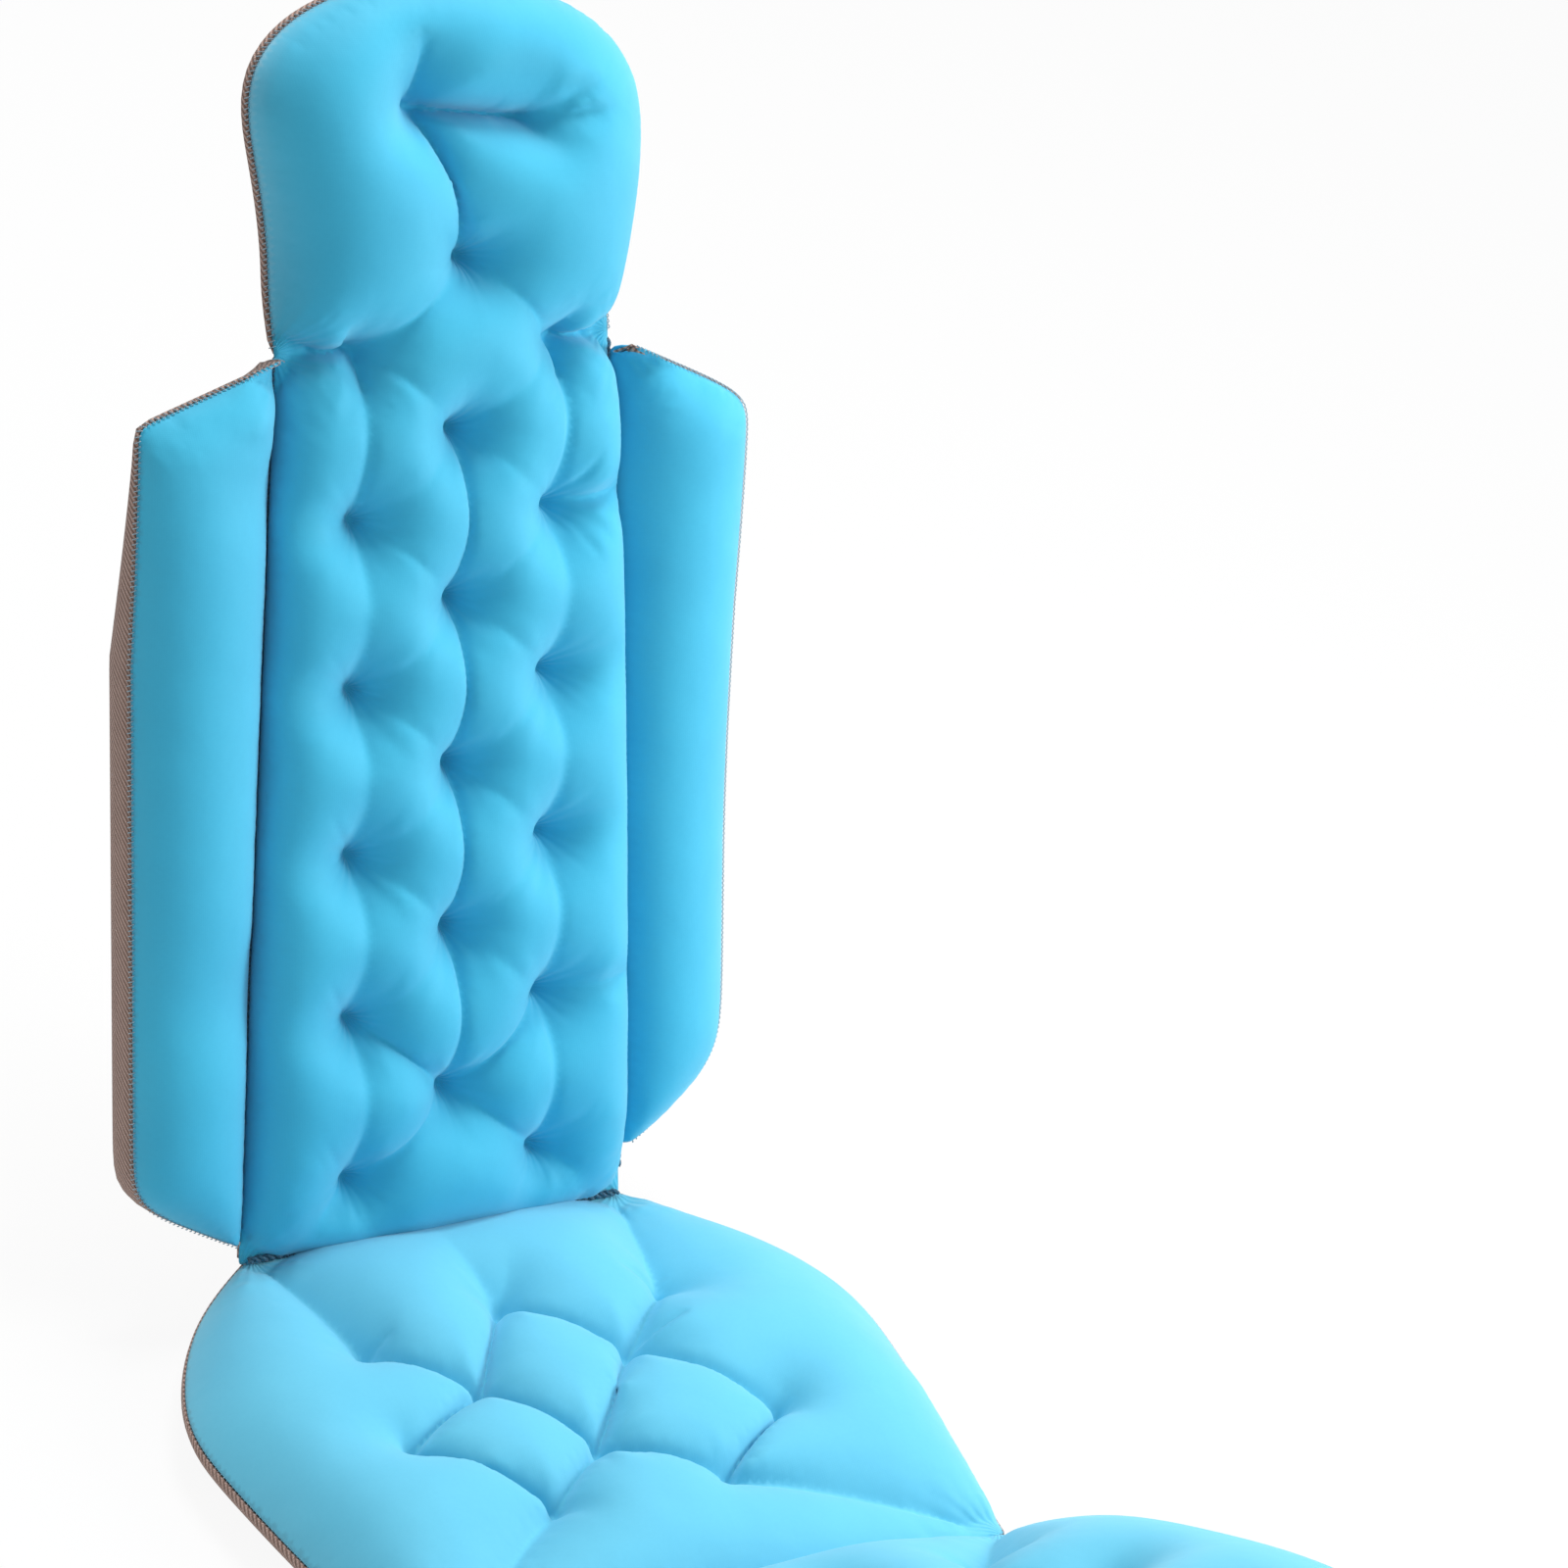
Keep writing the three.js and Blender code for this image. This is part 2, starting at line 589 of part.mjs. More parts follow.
// The seat's frame runs forward, so its own x points to the left.
const seat = new THREE.Group();
seat.position.z = STANDOFF;
seat.rotation.z = Math.PI;
pillow.add(seat);
const back = foldFrame(pillow, 0, STANDOFF, 90 - BACK_LEAN);
const leg = foldFrame(seat, SEAT_LENGTH, 0, LEG_ANGLE);
const head = new THREE.Group();
head.position.y = BACK_LENGTH;
back.add(head);

addPanel(head, "head", headPanel());
addPanel(back, "back", backPanel());
addPanel(back, "left_wing", wingPanel(-1));
addPanel(back, "right_wing", wingPanel(1));
addPanel(seat, "seat", seatPanel());
addPanel(leg, "leg", legPanel());

addFoldCord(seat, "waist_fold_cord", [-SEAT_WAIST_HALF, 0], [SEAT_WAIST_HALF, 0]);
addFoldCord(seat, "knee_fold_cord", [-LEG_KNEE_HALF, SEAT_LENGTH], [LEG_KNEE_HALF, SEAT_LENGTH]);
addFoldCord(head, "neck_fold_cord", [EDGE - NECK_HALF, 0], [NECK_HALF - EDGE, 0]);
for (const [side, name] of [[-1, "left"], [1, "right"]]) {
  const low = [side * seamHalf(WING_FOOT), WING_FOOT];
  const high = [side * seamHalf(WING_TOP - CORD_RADIUS), WING_TOP - CORD_RADIUS];
  addFoldCord(back, `${name}_wing_fold_cord`, low, high);
  addCup(head, `head_${name}`, side * HEAD_CUP_X, HEAD_CUP_Y);
  addCup(back, `back_${name}`, side * BACK_CUP_X, BACK_CUP_Y);
  addCup(seat, `seat_rear_${name}`, -side * SEAT_CUP_X, SEAT_REAR_CUP_Y);
  addCup(seat, `seat_front_${name}`, -side * SEAT_CUP_X, SEAT_FRONT_CUP_Y);
  addCup(leg, `leg_${name}`, -side * LEG_CUP_X, LEG_CUP_Y);
}

// The origin is below the middle of the whole pillow, at the level of the seat's cup lips.
pillow.updateMatrixWorld(true);
const extent = new THREE.Box3().setFromObject(pillow, true);
const middle = extent.getCenter(new THREE.Vector3());
const bath = new THREE.Group();
pillow.position.set(-middle.x, -middle.y, -extent.min.z);
bath.add(pillow);

export default bath;
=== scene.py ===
"""Full-body bath pillow: stuffed knit panels on a ribbed air-mesh back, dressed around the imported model."""

import json
import math
from dataclasses import dataclass

import bpy
import numpy as np
from mathutils import Matrix, Vector
from mathutils.geometry import delaunay_2d_cdt


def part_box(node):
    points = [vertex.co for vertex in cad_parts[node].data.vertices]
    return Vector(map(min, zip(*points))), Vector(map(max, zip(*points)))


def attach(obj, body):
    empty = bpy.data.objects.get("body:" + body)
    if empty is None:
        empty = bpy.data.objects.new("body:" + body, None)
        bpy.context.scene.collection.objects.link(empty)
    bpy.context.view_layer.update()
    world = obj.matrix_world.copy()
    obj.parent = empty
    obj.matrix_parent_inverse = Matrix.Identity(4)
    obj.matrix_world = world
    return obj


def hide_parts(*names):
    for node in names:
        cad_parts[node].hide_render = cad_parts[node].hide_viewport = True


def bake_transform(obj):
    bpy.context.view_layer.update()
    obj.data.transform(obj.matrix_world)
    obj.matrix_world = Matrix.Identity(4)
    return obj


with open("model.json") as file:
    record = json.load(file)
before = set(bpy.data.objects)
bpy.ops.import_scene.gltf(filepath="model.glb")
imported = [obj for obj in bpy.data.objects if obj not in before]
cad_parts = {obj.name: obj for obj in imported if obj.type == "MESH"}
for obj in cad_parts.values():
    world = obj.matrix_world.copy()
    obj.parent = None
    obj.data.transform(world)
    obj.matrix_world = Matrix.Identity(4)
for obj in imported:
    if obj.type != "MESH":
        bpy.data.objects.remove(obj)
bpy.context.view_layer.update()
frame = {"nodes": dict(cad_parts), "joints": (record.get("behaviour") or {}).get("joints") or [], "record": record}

# The camera, as fitted to the photograph: degrees, millimetres of lens and sensor, and metres from the waist.
CAMERA_AZIMUTH = -38.64
CAMERA_PITCH = 29.77
CAMERA_ROLL = 13.92
CAMERA_LENS = 109.07
CAMERA_SENSOR = 36
CAMERA_SHIFT_X = -0.18866
CAMERA_SHIFT_Y = -0.23886
CAMERA_DISTANCE = 2.54646

# Outlines of the covers: metres, powers of their round ends and corners, and counts of steps.
HEAD_ROUND = 0.088
HEAD_END_POWER = 3.0
HEAD_SHIFT = 0.004
HEAD_SWAY = 0.240
HEAD_TAPER = 0.150
WING_TURN = 0.330
WING_TIP = 0.004
WING_END = 0.080
SEAT_WIDEST = 0.120
SEAT_WAIST_HALF = 0.113
SEAT_KNEE_HALF = 0.168
SEAT_LEFT_IN = 0.035
SEAT_CORNER_POWER = 1.45
SEAT_FRONT_POWER = 1.25
LEG_WIDEST = 0.150
LEG_KNEE_HALF = 0.165
LEG_END_POWER = 4.0
SEAM_GAP = 0.0004
TRAY_GAP = 0.0020
STEPS = 60
ROUNDING_STEPS = 70

# Heights above the mesh's flat floor, in metres.
FOLD_RIM = 0.0175
FOLD_LIFT = 0.014
HEAD_RIM = 0.008
WING_LOW_RIM = 0.026
WING_HIGH_RIM = 0.027
SHOULDER_LIFT = 0.023
SEAT_RIM = 0.012
LEG_RIM = 0.012
BACK_CROWN = 0.050
HEAD_CROWN = 0.057
WING_CROWN = 0.043
SEAT_CROWN = 0.040
LEG_CROWN = 0.042
LEAST_HEIGHT = 0.002

# Lengths over which a cover or its mesh comes up from an edge or a fold, in metres.
LIFT_RUN = 0.036
BACK_SEAM_RUN = 0.030
HEAD_EDGE_RUN = 0.048
WING_SEAM_RUN = 0.026
WING_EDGE_RUN = 0.036
SIDE_RUN = 0.080
FOLD_RUN = 0.105
LEG_FOLD_RUN = 0.160

# The small step with which a roll starts at a fold: its share of the rise, and how much faster it comes up.
ROLL_SHARE = 0.28
ROLL_SPEED = 8

# The seat's flatter rear corners: where they start and end, how fast, and how low on the right and left.
CORNER_FROM = 0.07
CORNER_RUN = 0.09
CORNER_UNTIL = 0.20
CORNER_FADE = 0.08
CORNER_RIGHT = 0.017
CORNER_LEFT = 0.010

# Tufts and sewn lines: metres along and across a panel, counts of rows, widths and sewn heights.
BACK_TUFT_X = 0.056
BACK_TUFT_PITCH = 0.088
BACK_FIRST_TUFT = 0.041
BACK_TUFT_ROWS = 5
SEAT_TUFT_STEP = 0.047
SEAT_FIRST_TUFT = 0.090
SEAT_TUFT_ROWS = 4
LEG_TUFT_ROWS = 5
TUFT_FLOOR = 0.014
SEAT_TUFT_FLOOR = 0.012
SEAT_TUFTS = (
    (-0.095, 0.097), (-0.006, 0.085), (0.088, 0.092), (-0.050, 0.143), (0.044, 0.134),
    (-0.107, 0.172), (-0.010, 0.197), (0.096, 0.203), (-0.056, 0.231), (0.044, 0.236),
)
HEAD_LINE_LEFT = np.array((-0.026, 0.120))
HEAD_LINE_RIGHT = np.array((0.032, 0.114))
HEAD_LINE_FLOOR = 0.024
HEAD_LINE_WIDTH = 0.030
NECK_TIE_WIDTH = 0.024
TIE_RADIUS = 0.0030
CREASE_RADIUS = TIE_RADIUS / 6
NEIGHBOURS = 0.6 * BACK_TUFT_PITCH

# Creases: how far each stays up between its ends, as a share of the cover's height there, then the heights of
# its two ends, its width, its power and whether it is sewn.
COLUMN = (0.60, TUFT_FLOOR, TUFT_FLOOR, None, 0.75)
COLUMN_TOP = (0.50, TUFT_FLOOR, FOLD_RIM, None, 0.75)
DIAGONAL = (0.90,)
LOW_DIAGONAL = (0.60,)
NECK_TO_HEAD = (0.62, FOLD_RIM)
NECK_TO_BACK = (0.85, FOLD_RIM)
TO_WAIST = (0.50, TUFT_FLOOR, FOLD_RIM)
LOBE = (0.30, TUFT_FLOOR, TUFT_FLOOR, None, 0.55)
LOBE_TOP = (0.15, TUFT_FLOOR, 0.048)
LOBE_TOP_STEP = (0.004, 0.050)
FORK = (0.55, HEAD_LINE_FLOOR, 0.056, 0.013)
FORK_STEPS = ((0.050, 0.022), (0.056, 0.006))
SIDE_CREASE = (TUFT_FLOOR, 0.024, 0.022)
SIDE_CREASE_RISE = 0.006
SIDE_CREASE_ROWS = ((1, 0.75), (4, 0.40))
SEAT_DIAGONAL = (0.34, SEAT_TUFT_FLOOR, SEAT_TUFT_FLOOR)
SEAT_TO_WAIST = (0.45, SEAT_TUFT_FLOOR, FOLD_RIM, None, None, True)
SEAT_TO_KNEE = (0.50, SEAT_TUFT_FLOOR, FOLD_RIM, None, None, True)
SEAT_REAR = (0.60, SEAT_TUFT_FLOOR, 0.026, 0.026)
SEAT_REAR_STEP = (0.014, 0.070)

# How the covers are drawn down and blown up: width, powers at tufts and creases, and pressure. The simulation
# moves no point farther than the cap.
BACK_STUFFING = (0.042, (0.70, 1.05), 2400)
SEAT_STUFFING = (0.034, (0.50, 0.45), 1200)
WING_PRESSURE = 1800
PLUMP_TOP = 2.2
COVER_THICKNESS = 0.0012
CAP = 0.030
FRAMES = 22
CLOTH = {
    "quality": 6, "mass": 0.05, "tension_stiffness": 15, "compression_stiffness": 12, "shear_stiffness": 6,
    "bending_stiffness": 0.05, "air_damping": 4, "vertex_group_mass": "sewn", "pin_stiffness": 1,
    "use_pressure": True,
}

# Fans of wrinkles: length and depth in metres, then angles in degrees on the right side.
WING_NECK_FAN = (0.055, 0.0034, -35, -52, -68)
SHOULDER_FAN = (0.036, 0.0022, 188, 208, 228)
NECK_FAN = (0.060, 0.0042, 143, 160, 200, 217, 234, 251)
COLUMN_FAN = (0.040, 0.0036, 60, 82, 255, 280)
WAIST_FAN = (0.060, 0.0038, 112, 152, 167)
SEAT_WAIST_FAN = (0.060, 0.0038, 70, 118, 150, 166)
SEAT_KNEE_FAN = (0.070, 0.0040, 192, 218, 236, 252)
LEG_KNEE_FAN = (0.070, 0.0040, 75, 118, 150, 166)
FAN_START = 0.005
FAN_SHORT = 0.8
WRINKLE_WIDTH = 0.0062
WRINKLE_START = 4

# Triangles of the covers and the mesh: spacing in metres, and clearances as shares of it.
SPACING = 0.0044
TRAY_SPACING = 0.0075
EDGE_CLEAR = 1.25
STRIP_IN = 0.7
POINT_CLEAR = 0.6
BESIDE = 0.8
TILE_ROUNDING = 1e-7

# The mesh: levels of its side wall as a push outwards and a share of its height, and dimples at the tufts.
WALL = ((0.0, 1.0), (0.0011, 0.72), (0.0014, 0.40), (0.0004, 0.12), (-0.0030, 0.0))
LOW_WALL = ((0.0, 1.0), (0.0004, 0.75), (-0.0012, 0.45), (-0.0060, 0.15), (-0.0120, 0.0))
WALL_DROP = 0.0006
MESH_THICKNESS = 0.002
DIMPLE = 0.006
DIMPLE_SPREAD = 0.013

# Stitches, tacks and cords, in metres. A stitch's points go outwards, upwards and along the edge. A slant is
# a direction that no thread or cord follows, and starts its round section.
THREAD = 0.00034
OVERLOCK_PITCH = 0.0027
OVERLOCK = (
    (-0.0004, 0.0014, -0.0010), (0.0005, 0.0009, -0.0004), (0.0008, 0.0, 0.0), (0.0012, -0.0018, 0.0006),
)
TACK_PITCH = 0.0009
TACK_HALF = 0.0030
STITCH_PITCH = 0.0062
STITCH_HALF = 0.0029
TACK_SHARES = (-1, -0.8, 0, 0.8, 1)
TACK_LIFTS = np.array((-0.0006, 0.0005, 0.0009, 0.0005, -0.0006))
# The waist cord is lifted out of its fold so that its dark colour shows as the waist seam's painted shadow line.
WAIST_CORD_LIFT = 0.0045
NECK_CORD_DROP = 0.0025
STRAND = 0.0011
STRAND_SWING = 0.0010
LAY = 0.0085
STRAND_STEPS = 10
THREAD_SLANT = (0.31, 0.52, 0.79)
CORD_SLANT = (0.2, 0.3, 0.9)

# Profiles of the suction cups and their sockets: radius, and height above the lip.
CUP_PROFILE = (
    (0.0002, 0.0030), (0.0070, 0.0027), (0.0130, 0.0015), (0.0172, 0.0002), (0.0186, 0.0), (0.0200, 0.0),
    (0.0201, 0.0007), (0.0188, 0.0014), (0.0155, 0.0031), (0.0115, 0.0054), (0.0080, 0.0072),
    (0.0055, 0.0080), (0.0047, 0.0090), (0.0046, 0.0104), (0.0002, 0.0108),
)
SOCKET_PROFILE = (
    (0.0052, 0.0104), (0.0053, 0.0088), (0.0066, 0.0083), (0.0112, 0.0083), (0.0127, 0.0087),
    (0.0130, 0.0100), (0.0130, 0.0140), (0.0126, 0.0152), (0.0112, 0.0155), (0.0002, 0.0155),
)
CUP_PIECES = (("_cup", CUP_PROFILE, "clear_vinyl"), ("_cup_socket", SOCKET_PROFILE, "socket_plastic"))

# The studio. Lamps have a place, a target, a size and a power.
FLOOR_HALF = 12.0
FLOOR_GREY = 0.85
FLOOR_WHITE = 0.92
AMBIENT = 0.42
LAMPS = (
    ("key", (0.40, 0.80, 2.80), (0.0, 0.1, 0.3), 1.2, 54),
    ("side", (0.90, -0.30, 0.72), (0.0, 0.2, 0.35), 0.5, 9.0),
    ("front", (0.20, -2.20, 0.90), (0.0, 0.2, 0.3), 1.2, 8),
)

# Half a length along the panel on each side of the neck, and general lengths in metres.
NECK_BEND = 0.022
MILLIMETRE = 0.001
TINY = 1e-6
FAR = 9.0

JOINTS = {joint["name"]: joint for joint in frame["joints"]}
MOUNTS = {mount["name"]: mount for mount in frame["record"]["mounts"]}
SIDE = np.array((1.0, 0.0, 0.0))
WAIST = np.array(JOINTS["waist_fold"]["pos_m"])
NECK = np.array(JOINTS["neck_fold"]["pos_m"])
KNEE = np.array(JOINTS["knee_fold"]["pos_m"])
BACK_LENGTH = float(np.linalg.norm(NECK - WAIST))
SEAT_LENGTH = float(np.linalg.norm(KNEE - WAIST))
FOLD_HEIGHT = float(WAIST[2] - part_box("seat_mesh_back")[0].z)


class Panel:
    """A padded panel's own frame: u to the right, w away from its fold and h out of its mesh floor."""

    def __init__(self, fold, mount, forward):
        self.fold = fold
        self.up = -np.array(MOUNTS[mount]["axis"])
        self.along = forward * np.cross(self.up, SIDE)

    def world(self, u, w, h):
        """Points of the frame, from arrays of panel coordinates."""
        u, w, h = np.broadcast_arrays(u, w, h)
        across = np.multiply.outer(u, SIDE) + np.multiply.outer(w, self.along)
        return self.fold + across + np.multiply.outer(h - FOLD_HEIGHT, self.up)

    def local(self, points):
        """Panel coordinates of points of the frame."""
        offset = np.asarray(points) - self.fold
        return np.stack((offset @ SIDE, offset @ self.along, offset @ self.up + FOLD_HEIGHT), axis=-1)


@dataclass
class SetPanel:
    """A panel whose soft pieces are all pushed out of shape in the same way."""

    panel: object
    push: object

    def world(self, u, w, h):
        return self.panel.world(*self.push(*np.broadcast_arrays(u, w, h)))


def points_of(node):
    return np.array([vertex.co for vertex in frame["nodes"][node].data.vertices])


def reach_of(panel, node):
    """How far along its panel a node goes."""
    return float(panel.local(points_of(node))[:, 1].max())


BACK = Panel(WAIST, "back_left_cup_lip", 1)
SEAT = Panel(WAIST, "seat_rear_left_cup_lip", -1)
LEG = Panel(KNEE, "leg_left_cup_lip", -1)
HEAD_LENGTH = reach_of(BACK, "head_cover") - BACK_LENGTH
LEG_LENGTH = reach_of(LEG, "leg_cover")
HEAD_HALF, WING_HALF, SEAT_HALF, LEG_HALF = (
    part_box(name + "_cover")[1].x for name in ("head", "right_wing", "seat", "leg")
)


def clamp(value):
    return np.clip(value, 0.0, 1.0)


def rise(share):
    return np.sin(math.pi / 2 * clamp(share))


def swell(share):
    return np.sqrt(1 - (1 - clamp(share)) ** 2)


def arc(share, power):
    return (1 - (1 - clamp(share)) ** power) ** (1 / power)


def rolled(share):
    """A slow rise that starts with a small rounded step, as at a fold where two rolls meet."""
    return mix(rise(share), swell(share * ROLL_SPEED), ROLL_SHARE)


def plump(share, power):
    """A rounded rise: steep at its foot where the power is low, soft there where it is high."""
    return (1 - (1 - clamp(share)) ** PLUMP_TOP) ** power


def mix(start, end, share):
    return start + (end - start) * share


def smaller(first, second, rounding):
    """The smaller of two values, with a rounded change from one to the other."""
    return -rounding * np.logaddexp(-first / rounding, -second / rounding)


# Half widths of the panels.
SEAM = JOINTS["right_wing_fold"]
SEAM_AT = BACK.local(np.array(SEAM["pos_m"]))
SEAM_SLOPE = float(np.dot(SEAM["axis"], SIDE) / np.dot(SEAM["axis"], BACK.along))


def seam_half(w):
    return SEAM_AT[0] + SEAM_SLOPE * (w - SEAM_AT[1])


NECK_HALF = seam_half(BACK_LENGTH)


def head_half(w):
    straight = HEAD_LENGTH - HEAD_ROUND
    y = w - BACK_LENGTH
    side = mix(NECK_HALF, HEAD_HALF, (1 - np.cos(math.pi * clamp(y / HEAD_TAPER))) / 2)
    return side * np.sqrt(1 - clamp((y - straight) / HEAD_ROUND) ** HEAD_END_POWER)


def seat_half(w):
    near = mix(SEAT_WAIST_HALF, SEAT_HALF, arc(w / SEAT_WIDEST, SEAT_CORNER_POWER))
    share = (SEAT_LENGTH - w) / (SEAT_LENGTH - SEAT_WIDEST)
    far = mix(SEAT_KNEE_HALF, SEAT_HALF, arc(share, SEAT_FRONT_POWER))
    return np.where(w < SEAT_WIDEST, near, far)


def leg_half(w):
    near = mix(LEG_KNEE_HALF, LEG_HALF, arc(w / LEG_WIDEST, SEAT_CORNER_POWER))
    far = LEG_HALF * np.sqrt(1 - clamp((w - LEG_WIDEST) / (LEG_LENGTH - LEG_WIDEST)) ** LEG_END_POWER)
    return np.where(w < LEG_WIDEST, near, far)


@dataclass
class Wing:
    """Outline and set of one side wing. Lifts are how far its outer edge stands off the back's plane.

    Dents have a place along its seam, a spread and a height.
    """

    side: int
    foot: float
    foot_tip: float
    foot_slope: float
    foot_round: float
    wide: float
    drop: float
    shoulder_round: float
    gap: float
    high_lift: float
    low_lift: float
    dents: tuple

    def __post_init__(self):
        self.high = BACK_LENGTH - self.drop
        self.top = BACK_LENGTH - self.gap

    def half(self, w):
        neck = seam_half(self.top) + WING_TIP
        low = seam_half(self.foot) + self.foot_tip + self.foot_slope * (w - self.foot)
        side = mix(WING_HALF, self.wide, (w - self.foot) / (self.high - self.foot))
        slope = mix(self.wide, neck, (w - self.high) / (self.top - self.high))
        found = smaller(smaller(side, low, self.foot_round), slope, self.shoulder_round)
        return np.maximum(found, seam_half(w) + WING_TIP / 2)

    def edge(self):
        """The free edge from the foot to the top."""
        low, high = self.foot + WING_END, self.top - WING_END
        stretches = (np.linspace(self.foot, low, STEPS), np.linspace(low, high, STEPS)[1:-1])
        w = np.concatenate((*stretches, np.linspace(high, self.top, STEPS)))
        return self.turned(pairs(self.half, w))

    def loop(self, gap):
        inner = pairs(lambda at: seam_half(at) + gap, np.linspace(self.top, self.foot, STEPS))
        return self.turned(np.vstack((self.turned(self.edge()), inner)))

    def turned(self, path):
        """A path of the right side, put on this wing's side. Used twice, it gives the same path back."""
        return path if self.side > 0 else path[::-1] * (-1, 1)

    def out(self, u, w):
        """How far out a point is: 0 at the seam and 1 at the free edge."""
        inner = seam_half(w)
        return clamp((np.abs(u) - inner) / np.maximum(self.half(w) - inner, TINY))

    def rim(self, points):
        edge = mix(WING_LOW_RIM, WING_HIGH_RIM, clamp(points[:, 1] / BACK_LENGTH))
        return mix(FOLD_RIM, edge, self.out(*points.T))

    def floor(self, points):
        """The mesh floor, which comes up to the cover at the seam and thins out towards the shoulder."""
        seam = FOLD_LIFT * near_fold(np.abs(points[:, 0]) - seam_half(points[:, 1]))
        thin = SHOULDER_LIFT * clamp((points[:, 1] - WING_TURN) / (self.high - WING_TURN))
        return np.maximum(seam, thin * self.out(*points.T))

    def set(self, u, w, h):
        """The wing's own set, which its lifts give above and below its turn."""
        share = np.clip((w - WING_TURN) / (BACK_LENGTH - WING_TURN), -1, 1)
        lift = np.where(share > 0, self.high_lift, -self.low_lift) * np.sin(share * math.pi / 2)
        return u, w, h + lift * self.out(u, w)

    def dome(self, flat, loop):
        """A slope at the seam and a round free edge."""
        away = edge_distance(flat, loop)
        return mix(rise(away / WING_SEAM_RUN), swell(away / WING_EDGE_RUN), self.out(*flat.T))

    def crown(self, flat):
        """The seam's edge of a wing goes in and out a little along its length."""
        lift = sum(high * np.exp(-(((flat[:, 1] - at) / spread) ** 2)) for at, spread, high in self.dents)
        return WING_CROWN + lift * (1 - self.out(*flat.T))

    def cover(self):
        wrinkles = fan((self.side * NECK_HALF, BACK_LENGTH), self.side, *WING_NECK_FAN)
        wrinkles += fan((self.side * self.wide, self.high), self.side, *SHOULDER_FAN)
        return Cover(self.loop(SEAM_GAP), self.rim, self.crown, self.dome, wrinkles, pressure=WING_PRESSURE)


# The photograph shows the left wing reach lower and the right one cut away more.
WINGS = {
    "left_wing": Wing(
        side=-1, foot=0.0136, foot_tip=0.003, foot_slope=1.97, foot_round=0.012,
        wide=0.182, drop=0.029, shoulder_round=0.003, gap=0.001, high_lift=0.011, low_lift=0.0,
        dents=((0.153, 0.026, -0.011), (0.455, 0.020, 0.006), (0.412, 0.020, -0.007)),
    ),
    "right_wing": Wing(
        side=1, foot=0.030, foot_tip=0.008, foot_slope=1.5, foot_round=0.016,
        wide=0.173, drop=0.037, shoulder_round=0.010, gap=0.007, high_lift=0.012, low_lift=-0.008,
        dents=((0.400, 0.030, -0.006),),
    ),
}


def closed(path):
    return np.vstack((path, path[:1]))


def lengths_along(path):
    """Distance from a path's start to each of its points."""
    return np.concatenate(([0], np.cumsum(np.hypot(*np.diff(path, axis=0).T))))


def spots_on(path, at):
    """Points at given distances along a path."""
    along = lengths_along(path)
    return np.stack([np.interp(at, along, axis) for axis in path.T], axis=-1)


def resampled(path, step):
    """Points at even steps along a closed path, which keep its sharp corners only as near as one step."""
    path = closed(path)
    length = lengths_along(path)[-1]
    return spots_on(path, np.linspace(0, length, int(round(length / step)), endpoint=False))


def inside(points, loop):
    """Which points lie inside a closed loop."""
    x, y = points.T[:, :, None]
    x0, y0 = loop.T[:, None]
    x1, y1 = np.roll(loop, -1, axis=0).T[:, None]
    with np.errstate(divide="ignore", invalid="ignore"):
        at = x0 + (y - y0) * (x1 - x0) / (y1 - y0)
    crosses = ((y0 > y) != (y1 > y)) & (x < at)
    return crosses.sum(axis=1) % 2 == 1


def share_along(points, start, end):
    """How far along a straight stretch each point is, from 0 to 1."""
    run = end - start
    return clamp(((points - start) @ run) / max(run @ run, TINY ** 2))


def distance(points, starts, ends):
    """Distance from each point to the nearest of some straight stretches."""
    best = np.full(len(points), np.inf)
    for a, b in zip(np.atleast_2d(starts), np.atleast_2d(ends)):
        share = share_along(points, a, b)
        best = np.minimum(best, np.hypot(*(points - a - share[:, None] * (b - a)).T))
    return best


def edge_distance(points, loop):
    return distance(points, loop, np.roll(loop, -1, axis=0))


def clear_of_edge(points, loop, room):
    """Those of some points that lie inside a loop and off its edge."""
    points = points[inside(points, loop)]
    return points[edge_distance(points, loop) > room]


def outward(loop):
    """Unit normals that point out of a closed loop, which runs anticlockwise."""
    run = np.roll(loop, -1, axis=0) - np.roll(loop, 1, axis=0)
    normal = np.stack((run[:, 1], -run[:, 0]), axis=-1)
    return normal / np.hypot(*normal.T)[:, None]


def tile(loop, spacing, fixed=()):
    """Even triangles that fill a closed loop: plane points, triangles and which points are on the edge."""
    low, high = loop.min(axis=0), loop.max(axis=0)
    rows = np.arange(low[1], high[1], spacing * math.sqrt(3) / 2)
    field = []
    for k, y in enumerate(rows):
        xs = np.arange(low[0] + (k % 2) * spacing / 2, high[0], spacing)
        field.append(np.stack((xs, np.full_like(xs, y)), axis=-1))
    field = clear_of_edge(np.vstack(field), loop, spacing * EDGE_CLEAR)
    strip = clear_of_edge(loop - outward(loop) * spacing * STRIP_IN, loop, spacing * POINT_CLEAR)
    if len(fixed):
        field = field[distance(field, fixed, fixed) > spacing * POINT_CLEAR]
        strip = strip[distance(strip, fixed, fixed) > spacing * POINT_CLEAR]
        field = np.vstack((fixed, field))
    points = np.vstack((loop, strip, field))
    count = len(loop)
    edges = [(k, (k + 1) % count) for k in range(count)]
    made = delaunay_2d_cdt([Vector(p) for p in points], edges, [], 1, TILE_ROUNDING)
    flat = np.array([tuple(v) for v in made[0]])
    triangles = [tuple(f) for f in made[2]]
    border = np.array([min(o) < count if o else False for o in made[3]])
    return flat, triangles, border


class Stretch:
    """A straight stretch of a cover, or one point of it."""

    def __init__(self, start, end=None):
        self.start = np.array(start)
        self.end = np.array(start if end is None else end)

    def share(self, points):
        return share_along(points, self.start, self.end)

    def distance(self, points):
        return distance(points, self.start, self.end)


